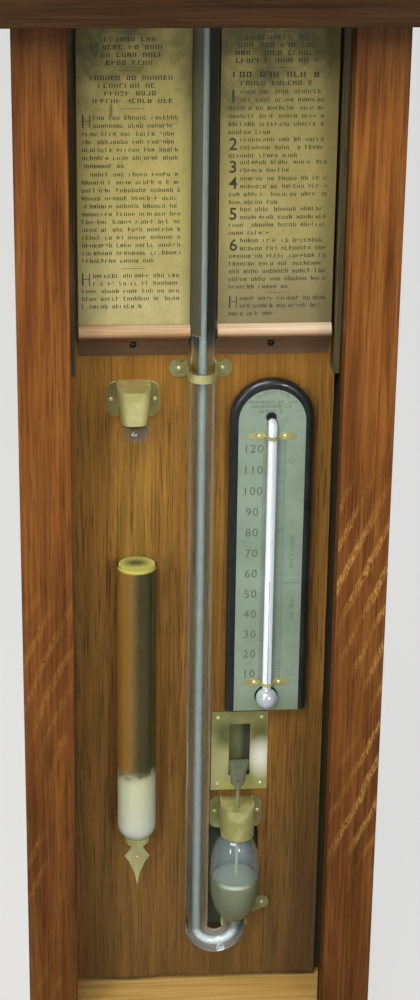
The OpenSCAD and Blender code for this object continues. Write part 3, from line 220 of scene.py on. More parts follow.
def frame_body(node):
    """Name of the body that a node belongs to."""
    bodies = frame["record"]["behaviour"]["bodies"]
    return next(body for body, members in bodies.items() if node in members)


def dress(finish, edge, *nodes):
    """Puts a copy of each node in its place: shared corners, flat faces in one piece and eased edges."""
    for node in nodes:
        work = bmesh.new()
        work.from_mesh(frame["nodes"][node].data)
        bmesh.ops.remove_doubles(work, verts=work.verts, dist=1e-6)
        bmesh.ops.dissolve_limit(work, angle_limit=math.radians(0.5), verts=work.verts, edges=work.edges)
        mesh = bpy.data.meshes.new(node + "_dressed")
        work.to_mesh(mesh)
        work.free()
        mesh.shade_smooth()
        mesh.set_sharp_from_angle(angle=math.radians(SMOOTH_BELOW))
        mesh.materials.clear()
        mesh.materials.append(LOOKS[finish])
        piece = bpy.data.objects.new(node + "_dressed", mesh)
        bpy.context.scene.collection.objects.link(piece)
        if edge:
            ease = piece.modifiers.new("eased_edges", "BEVEL")
            ease.width = edge * MM
            ease.segments = 2
            ease.limit_method = "ANGLE"
            ease.angle_limit = math.radians(EASED_ABOVE)
            ease.harden_normals = True
            ease.use_clamp_overlap = True
        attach(piece, frame_body(node))
        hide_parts(node)


def paint(finish, *nodes):
    """Gives nodes of the frame their finish and leaves their meshes as they are."""
    for node in nodes:
        mesh = frame["nodes"][node].data
        mesh.materials.clear()
        mesh.materials.append(LOOKS[finish])


# Finishes. Their places are in millimetres, and their noises have their scale per metre


def scaled(tone, share):
    """A colour made darker or lighter by a share."""
    return tuple(share * c for c in tone)


class Nodes:
    """A node tree under construction, with short calls for the nodes that finishes and world share."""

    def __init__(self, tree):
        self.nodes, self.links = tree.nodes, tree.links

    def add(self, kind, inputs=(), **settings):
        """Adds a node, with settings as attributes and inputs as values or links by name or number."""
        node = self.nodes.new(kind)
        for key, value in settings.items():
            setattr(node, key, value)
        for key, value in dict(inputs).items():
            if isinstance(value, bpy.types.NodeSocket):
                self.links.new(value, node.inputs[key])
            else:
                node.inputs[key].default_value = value
        return node

    def math(self, operation, first, second=0.0):
        return self.add("ShaderNodeMath", {0: first, 1: second}, operation=operation).outputs[0]

    def total(self, *terms):
        """Sum of values, each given with its weight."""
        result = 0.0
        for weight, value in terms:
            inputs = {0: value, 1: weight, 2: result}
            result = self.add("ShaderNodeMath", inputs, operation="MULTIPLY_ADD").outputs[0]
        return result

    def product(self, first, *others):
        for other in others:
            first = self.math("MULTIPLY", first, other)
        return first

    def mirrored(self, rays):
        """1 for a ray that was mirrored and didn't pass through glass."""
        glossy_alone = self.math("SUBTRACT", rays["Is Glossy Ray"], rays["Is Transmission Ray"])
        return self.math("MAXIMUM", glossy_alone, 0.0)


class Finish(Nodes):
    """A material under construction. Its values go to the shader, and it is kept in LOOKS by its name."""

    def __init__(self, name, **values):
        self.material = LOOKS[name] = bpy.data.materials.new(name)
        self.material.use_nodes = True
        super().__init__(self.material.node_tree)
        self.shader = self.nodes["Principled BSDF"]
        self.tone = None
        for key, value in values.items():
            self.shader.inputs[key.replace("_", " ")].default_value = value

    def place(self, scale, move=(0, 0, 0)):
        """The piece's own coordinates in metres, stretched and moved."""
        own = self.add("ShaderNodeTexCoord").outputs["Object"]
        return self.add("ShaderNodeMapping", {"Vector": own, "Scale": scale, "Location": move}).outputs[0]

    def noise(self, scale, detail=4.0, rough=0.55, bend=0.0, move=(0, 0, 0)):
        """Noise of one scale per metre, or of three along the axes."""
        scale = scale if isinstance(scale, tuple) else (scale,) * 3
        inputs = {"Vector": self.place(scale, move), "Scale": 1.0, "Detail": detail, "Roughness": rough,
                  "Distortion": bend}
        return self.add("ShaderNodeTexNoise", inputs).outputs["Fac"]

    def steps(self, value, *stops):
        """A ramp through stops of position and colour, or position and grey."""
        ramp = self.add("ShaderNodeValToRGB", {"Fac": value})
        elements = ramp.color_ramp.elements
        for spare in range(len(stops) - 2):
            elements.new(0.5)
        for element, (position, tone) in zip(elements, stops):
            element.position = position
            element.color = (*tone, 1) if isinstance(tone, tuple) else (tone, tone, tone, 1)
        return ramp.outputs["Color"]

    def range(self, value, low, high, to_low=0.0, to_high=1.0):
        """Straight change from one value to another between two ends, and level beyond them."""
        inputs = {"Value": value, 1: low, 2: high, 3: to_low, 4: to_high}
        return self.add("ShaderNodeMapRange", inputs).outputs[0]

    def mix(self, share, first, second):
        """Blends two colours, each a socket or a linear colour, by a share from 0 to 1."""
        pair = [c if isinstance(c, bpy.types.NodeSocket) else (*c, 1) for c in (first, second)]
        return self.add("ShaderNodeMix", dict(zip((0, 6, 7), [share] + pair)), data_type="RGBA").outputs[2]

    def axis(self, letter):
        own = self.add("ShaderNodeTexCoord").outputs["Object"]
        return self.add("ShaderNodeSeparateXYZ", {"Vector": own}).outputs[letter]

    def fade(self, letter, start, end, at_start=0.0, at_end=1.0, waver=None, reach=0.0):
        """Change along an axis between two places; a noise may shift them by up to its reach."""
        along = self.axis(letter)
        if waver is not None:
            along = self.total((1.0, along), (reach * MM, waver))
        return self.range(along, start * MM, end * MM, at_start, at_end)

    def band(self, letter, low, high, soft=1.0):
        """1 between two places along an axis, with soft edges."""
        rise = self.fade(letter, low - soft, low + soft)
        return self.product(rise, self.fade(letter, high + soft, high - soft))

    def spot(self, centre, half, soft=0.5):
        """1 inside an oval of half sizes round a centre, fading to 0 outside it."""
        place = self.place([1 / (h * MM) for h in half], move=[-c / h for c, h in zip(centre, half)])
        length = self.add("ShaderNodeVectorMath", {0: place}, operation="LENGTH").outputs["Value"]
        return self.range(length, 1 + soft, 1 - soft)

    def bump(self, height, depth, strength=1.0):
        """Relief of the given depth, from a height of 0 to 1."""
        relief = self.add("ShaderNodeBump", {"Height": height, "Distance": depth * MM, "Strength": strength})
        self.feed("Normal", relief.outputs[0])

    def feed(self, socket, value):
        self.links.new(value, self.shader.inputs[socket])

    def coat(self, share, over, strength=1.0):
        """Lays a colour over the tone by a share and a strength, and feeds the result to the shader."""
        if strength < 1:
            share = self.product(share, strength)
        self.tone = self.mix(share, self.tone, over)
        self.feed("Base Color", self.tone)


def wood(name, dark, middle, light, run="Z", rough=0.45, pores=0.5, wander=3.0, shift=0.0):
    """Oiled wood: growth bands, fine lines, slow drift and short dark pores, stretched along the grain."""
    f = Finish(name, Roughness=rough, Specular_IOR_Level=0.1)

    def grain(across, lengthways, *texture):
        scale = tuple(lengthways if letter == run else across for letter in "XYZ")
        return f.noise(scale, *texture, move=(shift, shift * 0.7, shift * 1.3))

    bands = grain(46, 2.6, 3.0, 0.5, wander)
    lines = grain(430, 7, 3.0, 0.65, 0.4)
    drift = grain(13, 6, 3.0, 0.6)
    pore = f.steps(grain(1250, 34, 2.0, 0.6), (0.34, 1.0), (0.47, 0.0))
    figure = f.total((0.36, bands), (0.4, lines), (0.24, drift))
    f.tone = f.steps(figure, (0.4, dark), (0.5, middle), (0.6, light))
    f.coat(pore, scaled(dark, 0.4), pores)
    f.feed("Roughness", f.range(lines, 0.3, 0.7, rough - 0.08, rough + 0.1))
    f.bump(f.math("SUBTRACT", f.product(lines, 0.5), pore), 0.1, 0.4)
    return f


def stile_oak(name, oak, shift, low, high, strength):
    """Quarter-sawn oak with golden ray flecks between two heights, and painted shade under the bar and towards
    its foot.

    The flecks lie on the front alone, in slanting bands of short upright dashes.
    """
    f = wood(name, *oak, shift=shift)
    spacing = 10.5 * MM
    slant = f.total((-0.92, f.axis("X")), (0.39, f.axis("Z")), (12 * MM, f.noise((26, 1, 15), 3.0, 0.6)))
    bands = f.range(f.math("SINE", f.product(slant, 2 * math.pi / spacing)), 0.25, 0.8)
    dashes = f.range(f.noise((1300, 1, 240), 3.0, 0.7), 0.42, 0.6)
    patches = f.range(f.noise((30, 1, 12), 2.0), 0.42, 0.56)
    flecks = f.product(bands, dashes, patches, f.band("Z", low, high, 30), f.fade("Y", -63.2, -63.8))
    f.coat(flecks, linear(190, 142, 66), strength)
    # painted shade: darker under the bar, where its shadow falls, and towards the foot
    painted_shade = f.math("MAXIMUM", f.fade("Z", -367, -315, 0.0, 0.66), f.fade("Z", -500, -1000, 0.0, 0.5))
    f.coat(painted_shade, linear(24, 14, 8))


def board_wood(shade, board, light):
    """Stained backboard: upright grain, green bloom, scratches, ragged left edge and foot, and one crack.

    It has painted shade in the channel behind the tube, in its recesses, towards its foot and at its lower
    right, and painted light on its upper part; it is also greyer towards its foot.
    """
    f = wood("board_wood", shade, board, light, pores=0.75, rough=0.52, shift=7.7)
    bloom_and_painted_sheen = f.range(f.noise((60, 1, 9), 3.0, 0.6, move=(2, 0, 5)), 0.5, 0.72)
    f.coat(bloom_and_painted_sheen, linear(88, 84, 40), 0.28)
    scratch = f.range(f.noise((2600, 1, 55), 2.0, move=(3, 0, 9)), 0.7, 0.78)
    f.coat(scratch, linear(176, 146, 96), 0.3)
    worn = f.fade("X", -65.5, -70.5, waver=f.noise((120, 1, 24), 4.0, 0.65), reach=20)
    f.coat(f.product(worn, f.band("Z", -850, -640, 30)), linear(72, 68, 50), 0.75)
    crack_x = 11.1 * MM
    drift = f.noise((1, 1, 90), 3.0)
    gap = f.math("ABSOLUTE", f.total((1.0, f.axis("X")), (1.2 * MM, drift), (-crack_x, 1.0)))
    crack = f.product(f.range(gap, 0.1 * MM, 0.35 * MM, 1.0, 0.0), f.fade("Z", -945.5, -947.5))
    f.coat(crack, linear(22, 14, 8), 0.85)
    f.coat(f.fade("Z", -954.5, -955.8, waver=f.noise((55, 1, 1), 4.0, 0.6), reach=6), linear(34, 22, 12), 0.8)
    # painted light: paler on the upper part, under the mouldings
    f.coat(f.fade("Z", -560, -525), linear(168, 116, 42), 0.3)
    # painted shade in the channel behind the tube
    channel = f.product(f.band("X", -9, 9, 1.5), f.fade("Z", -514, -508))
    f.coat(channel, linear(54, 54, 48), 0.96)
    # painted shade in the recesses, behind the board's front face
    recess = f.fade("Y", -14.7, -14.2)
    f.coat(recess, linear(30, 30, 22), 0.8)
    # painted shade: darker towards the foot
    f.coat(f.fade("Z", -600, -970), scaled(shade, 0.4), 0.36)
    beside_tube = f.product(f.band("X", 8, 17, 3), f.band("Z", -760, -560, 40))
    f.coat(beside_tube, linear(160, 106, 34), 0.15)
    # painted shade at the lower right
    lower_right = f.product(f.fade("X", 45, 75), f.fade("Z", -740, -860))
    f.coat(lower_right, linear(60, 46, 30), 0.4)
    f.coat(f.fade("Z", -800, -960), linear(92, 78, 56), 0.3)


def case_back_wood():
    """The case back: brown outside, and grey-green inside, where the slots of the board show it."""
    f = wood("case_back_wood", linear(88, 58, 28), linear(104, 70, 34), linear(122, 84, 42), shift=4.0)
    inside = f.fade("Y", -4.8, -5.6)
    f.coat(inside, linear(112, 114, 74))
    shaded = f.math("MAXIMUM", f.fade("X", 26, 31), f.fade("Z", -830, -850))
    f.coat(f.product(inside, shaded), linear(72, 78, 60))


def moulding_wood():
    """Worn nosing, pinkish on its crown and paler to the right, with painted shade on its lower part and darker
    painted shade over the cove below it.
    """
    f = wood("moulding_wood", linear(158, 120, 82), linear(190, 158, 120), linear(214, 186, 152), run="X",
             rough=0.36, pores=0.25)
    f.coat(f.fade("X", 0, 50), linear(228, 210, 188), 0.35)
    # painted shade on the lower part of the nosing and, darker, over the cove below it
    f.coat(f.fade("Z", -494.5, -496.5), linear(150, 98, 52), 0.4)
    f.coat(f.fade("Z", -496.5, -499.2), linear(66, 42, 18), 0.85)


def aged_paper(fresh, dark, pale):
    """Varnished paper: pale in the hood, dark green under the bar, olive and paler below, brown edges; the pale
    parts are painted light, and the dark green is age and a painted shadow of the bar.
    """
    f = Finish("aged_paper", Roughness=0.5, Specular_IOR_Level=0.15)
    cloud = f.noise(26, 5.0, 0.6)
    # painted light and shade by height: a painted shadow of the bar below its edge, painted light in the hood
    # and towards the foot
    drop = f.total((1.0, f.fade("Z", -325, -490)), (1.0, f.range(cloud, 0.3, 0.7, -0.16, 0.16)),
                   (0.7, f.fade("Z", -285, -284.6)))
    f.tone = f.steps(drop, (0.0, dark), (0.16, scaled(fresh, 0.8)), (0.5, fresh), (1.0, pale))
    fibre = f.range(f.noise((900, 1, 260), 3.0), 0.5, 0.35)
    f.coat(fibre, dark, 0.16)
    stain = f.range(f.noise((70, 1, 34), 5.0, 0.7, move=(5, 0, 2)), 0.42, 0.7)
    f.coat(stain, linear(112, 104, 50), 0.3)
    f.coat(f.product(f.fade("X", 5, 10), f.fade("Z", -440, -480)), linear(120, 110, 78), 0.8)
    f.coat(f.fade("X", 0, 1), linear(80, 76, 48), 0.2)
    clean = f.math("MAXIMUM", f.band("X", -70.5, -11, 4), f.band("X", 11.5, 68, 5))
    f.coat(f.math("SUBTRACT", 1.0, clean), linear(92, 80, 44), 0.45)
    tear = f.spot((-54.6, -27.3, -363.7), (0.9, 9, 4.5))
    f.coat(tear, dark, 0.7)
    f.bump(cloud, 0.4, 0.3)


def aged_brass(name, base, pale, rough=0.36, mottle=1.0, tarnish=0.0):
    """Tarnished sheet brass: olive, paler rubbed patches, brown spots, and darker ears against the board."""
    f = Finish(name, Metallic=0.45, Roughness=rough)
    patches = f.noise(60, 4.0, 0.55, 0.6)
    spots = f.range(f.noise(520, 3.0, 0.6), 0.62, 0.74)
    f.tone = f.mix(f.product(f.range(patches, 0.4, 0.66), mottle), base, pale)
    f.coat(spots, scaled(base, 0.45), 0.3)
    f.feed("Roughness", f.range(patches, 0.3, 0.7, rough + 0.14, rough - 0.06))
    ears = f.product(f.fade("Y", -17.4, -16.8), f.fade("Z", -850, -840))
    f.coat(ears, linear(86, 84, 42), tarnish)
    f.bump(f.noise(140, 3.0), 0.03, 0.5)
    return f


def fittings_brass(base, pale):
    """Brass of the straps and brackets, rubbed bright on the spear at the left and dull on the clip."""
    f = aged_brass("aged_brass", base, pale, tarnish=0.5)
    low_down = f.fade("Z", -845, -850)
    f.coat(f.product(low_down, f.fade("X", -20, -25)), linear(214, 208, 152), 0.55)
    f.coat(f.product(low_down, f.fade("X", 20, 25)), linear(92, 90, 44), 0.5)


def ear_brass():
    """Brass of the storm glass hood's ears, with a painted highlight on their rim."""
    f = aged_brass("ear_brass", linear(128, 122, 66), linear(150, 144, 84))
    # painted highlight on the rim
    f.coat(f.fade("Y", -15.62, -15.5), linear(222, 216, 160))


def window_brass(base, pale):
    """The window plate's brass with a painted reflection: dark olive cheeks and a darker band at the top, bright
    at the foot, and a painted highlight at the lower right.
    """
    f = aged_brass("window_brass", scaled(base, 1.15), pale, 0.3, 0.5)
    x, _, z = sum(span("window_plate")) / 2
    olive = linear(98, 102, 54)
    # painted reflection: dark olive cheeks and band at the top, bright at the lower left
    f.coat(f.spot((x - 8, PLATE_FRONT, z + 12), (8, 9, 9)), olive, 0.85)
    f.coat(f.spot((x + 13, PLATE_FRONT, z + 12), (7, 9, 9)), olive, 0.85)
    f.coat(f.fade("Z", z + 11, z + 15), olive, 0.4)
    f.coat(f.spot((x - 13, PLATE_FRONT, z - 13), (7, 9, 12)), linear(206, 202, 146), 0.6)
    # painted highlight at the lower right
    f.coat(f.spot((x + 14, PLATE_FRONT, z - 5), (6, 9, 10), 0.7), linear(255, 255, 234))


def nail_brass():
    """Round nail heads: bright brass, and blackened where they hold the wooden mouldings."""
    f = aged_brass("nail_brass", linear(206, 198, 130), linear(246, 242, 200), 0.2)
    f.coat(f.band("Z", -512, -503.5, 0.4), linear(40, 32, 24))


def clear(name, tint):
    """Blown glass that bends light, and lets light through it to what stands behind."""
    f = Finish(name, Base_Color=(*tint, 1), Roughness=0.0, IOR=1.47, Transmission_Weight=1.0)
    passing = f.add("ShaderNodeBsdfTransparent", {"Color": (*tint, 1)})
    ray = f.add("ShaderNodeLightPath").outputs["Is Shadow Ray"]
    both = f.add("ShaderNodeMixShader", {0: ray, 1: f.shader.outputs[0], 2: passing.outputs[0]})
    f.links.new(both.outputs[0], f.nodes["Material Output"].inputs["Surface"])
    return f


def tube_glass(tint=(0.68, 0.74, 0.7)):
    """The tube's glass, with a pale blue painted sheen on the bulb's open part and on the bend.

    Above the foot of the papers it bends light less and has grey painted light along its left side.
    """
    f = clear("tube_glass", tint)
    open_part = f.product(f.fade("X", *BULB_SIDE), f.band("Z", -870, -812, 2))
    bend = f.fade("Z", -908, -914)
    film_and_painted_light = f.product(f.band("Z", PAPER_FOOT, -300, 0.3), f.fade("X", -1.5, -2.5))
    # painted sheen: pale blue-white on the bulb's open part and on the bend; painted light: grey along the left
    # side above the foot of the papers
    f.feed("Transmission Weight", f.total((-0.06, open_part), (-0.1, bend), (-0.85, film_and_painted_light), (1.0, 1.0)))
    bloom_and_painted_sheen = f.mix(f.math("MAXIMUM", open_part, bend), tint, linear(226, 236, 240))
    f.feed("Base Color", f.mix(film_and_painted_light, bloom_and_painted_sheen, linear(78, 78, 60)))
    f.feed("IOR", f.fade("Z", -514, -494, 1.47, 1.15))


def storm_glass(tint=(0.97, 0.98, 0.95)):
    """Clear glass that hardly shows where it holds air, apart from the shoulder right under its hood, which has
    a painted grey sheen.
    """
    f = clear("storm_glass_clear", tint)
    middle = sum(span("storm_glass"))[0] / 2
    filled = f.fade("Z", -647.5, -649.5)
    shoulder = f.product(f.fade("Z", -559.5, -556.5), f.band("X", middle - 6, middle + 6, 2.5))
    f.feed("IOR", f.range(f.math("MAXIMUM", filled, shoulder), 0.0, 1.0, 1.02, 1.47))
    # painted sheen: a grey veil on the shoulder right under the hood
    veil = f.product(f.fade("Z", -562.5, -559), f.band("X", middle - 6, middle + 6, 3))
    f.feed("Transmission Weight", f.range(veil, 0.0, 1.0, 1.0, 0.95))
    f.feed("Base Color", f.mix(veil, tint, linear(178, 184, 186)))


def pane_glass():
    """Flat old sheet, nearly all of it transparent, that mirrors a little of the room."""
    f = Finish("pane_glass", Base_Color=(0.8, 0.84, 0.8, 1), Metallic=1.0, Roughness=0.04, Alpha=0.007)
    f.feed("Roughness", f.range(f.noise(14, 3.0), 0.3, 0.7, 0.02, 0.12))


def mercury_metal(leg, film_and_painted_light, deep):
    """Mercury under a grey film: blue-grey in the leg, olive-grey in the bulb, with painted shade high in the
    leg, a painted highlight at its rim and a painted reflection brightening its bend.
    """
    f = Finish("mercury", Metallic=0.3, Roughness=0.45)
    cloud = f.noise(130, 3.0)
    f.tone = f.mix(f.range(cloud, 0.35, 0.7), leg, scaled(leg, 0.88))
    bulb = f.product(f.fade("X", *BULB_SIDE), f.fade("Z", -911, -903))
    f.coat(bulb, film_and_painted_light)
    f.coat(f.product(bulb, f.fade("Z", -882, -900)), deep)
    level = mercury_level()
    # painted highlight along the front rim of the surface in the bulb
    rim = f.product(f.band("Z", level - 3.0, level - 1.0, 0.6), f.band("X", 17, 31, 6))
    f.coat(rim, linear(236, 236, 226), 0.75)
    # painted shade: darker high in the leg, between the register boards
    f.coat(f.fade("Z", -500, -360), linear(66, 72, 70), 0.45)
    # painted reflection: brighter at the bend
    bend = f.fade("Z", -909, -914)
    f.coat(bend, linear(222, 228, 228))
    f.feed("Roughness", f.total((-0.3, bend), (1.0, f.range(cloud, 0.3, 0.7, 0.42, 0.5))))


def plain(name, base, second, scale, metallic=0.0, rough=0.5, relief=0.05, coat=0.0):
    """Two close tones in soft patches, with a fine relief."""
    f = Finish(name, Metallic=metallic, Roughness=rough, Coat_Weight=coat, Coat_Roughness=0.08)
    cloud = f.noise(scale, 4.0, 0.6)
    f.tone = f.mix(f.range(cloud, 0.35, 0.68), base, second)
    f.feed("Base Color", f.tone)
    f.feed("Roughness", f.range(cloud, 0.3, 0.7, rough - 0.05, rough + 0.08))
    f.bump(f.noise(scale * 6, 3.0), relief, 0.5)
    return f


def enamel_stem(thread_top):
    """Thermometer: white enamel with a blue-grey flank of painted shade and a dark thread, and a silver bulb
    under it.
    """
    low, high = span("thermometer_tube")
    x = (low[0] + high[0]) / 2
    f = plain("enamel_stem", linear(236, 240, 243), linear(224, 230, 233), 120, 0.0, 0.15, 0.0, 0.6)
    # painted shade: blue-grey band inside the stem, right of its middle
    f.coat(f.band("X", x - 0.5, x + 1.7, 0.35), linear(150, 168, 186), 0.5)
    thread = f.product(f.band("X", x - 0.12, x + 0.42, 0.1), f.band("Z", low[2], thread_top, 0.5))
    f.coat(thread, linear(70, 74, 84), 0.8)
    bulb = f.fade("Z", low[2] + 16, low[2] + 15.2)
    f.coat(bulb, linear(214, 224, 232))
    f.feed("Metallic", f.product(bulb, 0.45))
    f.feed("Roughness", f.range(bulb, 0.0, 1.0, 0.15, 0.12))


def silvered_plate():
    """Silvered plate: grey green, cloudy, brownish at its foot, with painted shade in the hole of the stem's
    bent tip.
    """
    f = plain("silvered_plate", linear(150, 167, 148), linear(131, 149, 127), 30, 0.3, 0.42, 0.02)
    low, high = span("scale_plate")
    worn = f.range(f.noise(190, 4.0, 0.6), 0.6, 0.72)
    f.coat(worn, linear(96, 98, 70), 0.22)
    f.coat(f.fade("Z", low[2] + 16, low[2]), linear(112, 120, 84), 0.35)
    x = sum(span("thermometer_tube"))[0] / 2
    # painted shade in the hole of the stem's bent tip
    f.coat(f.spot((x - 0.8, -23.8, high[2] - 17.6), (3.4, 5, 3.2), 0.15), linear(26, 28, 30))


def storm_crystals(tips, bed):
    """Fluffy white needles that thin out in wisps between two heights."""
    f = Finish("storm_crystals", Roughness=0.7, Subsurface_Weight=0.2, Subsurface_Scale=2 * MM)
    needles = f.noise((620, 620, 330), 5.0, 0.7, 1.0)
    clumps = f.noise(190, 4.0, 0.6)
    f.tone = f.steps(f.total((0.35, needles), (0.65, clumps)), (0.36, linear(164, 164, 138)),
                     (0.5, linear(174, 175, 150)), (0.64, linear(182, 183, 162)))
    loose = f.range(f.total((1.0, f.fade("Z", bed, tips)), (0.9, clumps), (0.2, needles)), 0.5, 1.2)
    f.coat(loose, linear(134, 122, 66), 0.7)
    f.coat(f.fade("Z", -810, -835), linear(172, 180, 176), 0.5)
    f.feed("Alpha", f.range(loose, 0.35, 0.95, 1.0, 0.0))
    f.bump(needles, 0.5, 0.4)


def storm_solution(tint):
    """Olive spirit solution, half clear, with an amber left flank, a pale top that is painted light, and a
    painted dark reflection at the rear of its top.
    """
    low, high = span("storm_liquid")
    f = Finish("storm_liquid", Roughness=0.02, IOR=1.36, Transmission_Weight=0.6, Specular_IOR_Level=0.1)
    f.tone = f.mix(f.range(f.noise(45, 3.0), 0.3, 0.7), tint, scaled(tint, 0.8))
    f.coat(f.fade("X", low[0] + 12, low[0] + 4), linear(204, 152, 66), 0.8)
    # painted light: pale top
    top = f.fade("Z", high[2] - 1.0, high[2])
    f.coat(top, linear(172, 168, 86), 0.9)
    x, y = (low + high)[:2] / 2
    # painted reflection: dark at the rear of the top
    rear = f.spot((x, y + 6, high[2]), (7, 5, 40), 0.6)
    f.coat(f.product(top, rear), linear(84, 80, 56))
    f.feed("Transmission Weight", f.range(top, 0.0, 1.0, 0.6, 0.1))


def make_finishes(tones):
    """Makes every finish once, from the tones of the settings."""
    def tone(name, share=1.0):
        return scaled(getattr(tones, name), share)

    oak = tone("oak_shade"), tone("oak"), tone("oak_light")
    stile_oak("stile_oak_left", oak, 0.3, -930, -640, 0.3)
    stile_oak("stile_oak_right", oak, 2.1, -840, -600, 0.85)
    wood("hood_oak", *oak, shift=5.2)
    wood("side_oak", *oak, shift=4.0)
    wood("rail_oak", *oak, run="X", shift=1.1)
    bar = [tone("bar_oak", share) for share in (0.6, 1.0, 1.35)]
    wood("bar_oak", *bar, run="X", rough=0.5)
    wood("dark_upright", *bar, rough=0.5)
    board_wood(*(tone("board", share) for share in (0.62, 1.0, 1.3)))
    # painted shade: the register boards are a very dark copy of the board's tones, so the channel beside the
    # tube looks shaded
    wood("register_wood", *(tone("board", share) for share in (0.12, 0.2, 0.3)))
    case_back_wood()
    wood("batten_wood", linear(50, 42, 26), linear(70, 60, 38), linear(92, 82, 54))
    moulding_wood()
    wood("pine_floor", linear(184, 140, 70), linear(200, 160, 88), linear(214, 176, 106), run="X", pores=0.12,
         wander=4.0)
    aged_paper(tone("paper"), linear(74, 72, 40), linear(172, 162, 112))
    plain("printed_ink", linear(38, 36, 20), linear(54, 50, 28), 300, rough=0.7)
    plain("engraved_mark", linear(78, 86, 70), linear(92, 102, 82), 500, rough=0.6)
    pane_glass()
    tube_glass()
    storm_glass()
    mercury_metal(tone("mercury"), linear(134, 136, 110), linear(138, 132, 108))
    fittings_brass(tone("brass"), tone("rubbed_brass"))
    aged_brass("hood_brass", tone("brass", 1.35), tone("rubbed_brass", 1.15))
    ear_brass()
    window_brass(tone("brass"), tone("rubbed_brass"))
    nail_brass()
    aged_brass("knob_brass", linear(176, 150, 82), linear(208, 188, 124), 0.26, 0.5)
    steel = plain("dull_steel", linear(142, 146, 118), linear(116, 120, 96), 160, 0.6, 0.45)
    # painted reflection: paler from the lower end of the slide tongue down
    steel.coat(steel.fade("Z", -803, -809), linear(196, 194, 150), 0.55)
    plain("ebonised_wood", linear(22, 28, 28), linear(36, 40, 36), 60, 0.0, 0.3, 0.02, 0.3)
    silvered_plate()
    enamel_stem(-660.5)
    top = span("storm_crystals")[1][2]
    storm_crystals(top + 13, top - 9)
    storm_solution(tone("storm_liquid"))


# Settings


def size(name, text, value, low=0.0, high=1000.0):
    """A length in millimetres, as a property of the sidebar."""
    return bpy.props.FloatProperty(name=name, description=text, default=value, min=low, max=high)


def colour(name, text, value):
    return bpy.props.FloatVectorProperty(name=name, description=text, default=value, size=3, min=0.0, max=1.0,
                                         subtype="COLOR")


def angle(name, text, degrees):
    return bpy.props.FloatProperty(name=name, description=text, default=math.radians(degrees),
                                   subtype="ANGLE")


def power(name, text, value):
    return bpy.props.FloatProperty(name=name, description=text, default=value, min=0.0)


class ToneSettings(bpy.types.PropertyGroup):
    """Main colours of the finishes."""
    oak: colour("Oak", "Stained oak of the case", linear(114, 66, 24))
    oak_shade: colour("Oak shade", "Dark lines of the oak", linear(88, 49, 18))
    oak_light: colour("Oak light", "Pale streaks of the oak", linear(132, 83, 33))
    bar_oak: colour("Bar oak", "Dark oak of the bar and mouldings", linear(54, 34, 14))
    board: colour("Board", "Stained backboard", linear(130, 91, 37))
    paper: colour("Paper", "Aged print paper", linear(160, 148, 88))
    mercury: colour("Mercury", "Film on the mercury in the leg", linear(150, 160, 160))
    brass: colour("Brass", "Tarnished sheet brass", linear(166, 162, 98))
    rubbed_brass: colour("Rubbed brass", "Paler patches of the brass", linear(208, 204, 144))
    storm_liquid: colour("Storm liquid", "Solution in the storm glass", linear(84, 80, 30))


class TubeSettings(bpy.types.PropertyGroup):
    """Sizes of the siphon tube, in millimetres."""
    diameter: size("Diameter", "Outer diameter of the tube", 15.0)
    bore: size("Bore", "Bore of the tube", 3.6)
    bulb_radius: size("Bulb radius", "Greatest radius of the bulb", 16.3)
    bulb_wall: size("Bulb wall", "Wall of the bulb", 1.3)
    bulb_up: size("Bulb above level", "Height of the bulb above the mercury", 33.0)
    bulb_down: size("Bulb below level", "Depth of the bulb below the mercury", 34.0)
    neck_radius: size("Neck radius", "Radius of the open neck", 7.2)
    neck_rise: size("Neck rise", "Height of the neck above the mercury", 46.0)
    bend_drop: size("Bend drop", "Depth of the bend's centre line below the mercury", 38.0)


class StormSettings(bpy.types.PropertyGroup):
    """Sizes of the storm glass, in millimetres."""
    wall: size("Wall", "Wall of the storm glass", 0.9)
    neck: size("Neck", "Radius of its sealed neck", 4.6)
    shoulder: size("Shoulder", "Height of the shoulder below the sealed tip", 16.5)
    meniscus: size("Meniscus", "Climb of the liquid at the glass", 1.6)
    wisps: size("Wisps", "Rise of the loose crystals over the settled bed", 13.0)


class PrintSettings(bpy.types.PropertyGroup):
    """Marks on the papers and the scale, in millimetres."""
    line_gap: size("Line gap", "Distance between printed lines", 4.7)
    letter: size("Letter height", "Height of a small printed mark", 1.85)
    stroke: size("Stroke", "Thickness of a printed stroke", 0.5)
    ten_degrees: size("Ten degrees", "Height of ten degrees on the thermometer", 13.94)


class StageSettings(bpy.types.PropertyGroup):
    """Camera and light."""
    tilt: angle("Tilt", "Camera's fall below the horizon", 22.61)
    yaw: angle("Yaw", "Camera's turn to its right", 5.02)
    roll: angle("Roll", "Camera's turn about its line of sight", 0.784)
    lens: bpy.props.FloatProperty(name="Lens", description="Focal length on a 36 mm tall frame", default=82.8)
    floor: colour("Floor", "Pale floor", linear(240, 239, 237))
    key: power("Key", "Lamp above on the left", 28.0)
    fill: power("Fill", "Lamp on the right", 3.0)
    sparkle: power("Sparkle", "Small lamps for highlights", 5.0)
    surroundings: power("Surroundings", "Strength of the light from all round", 0.45)


# Operators


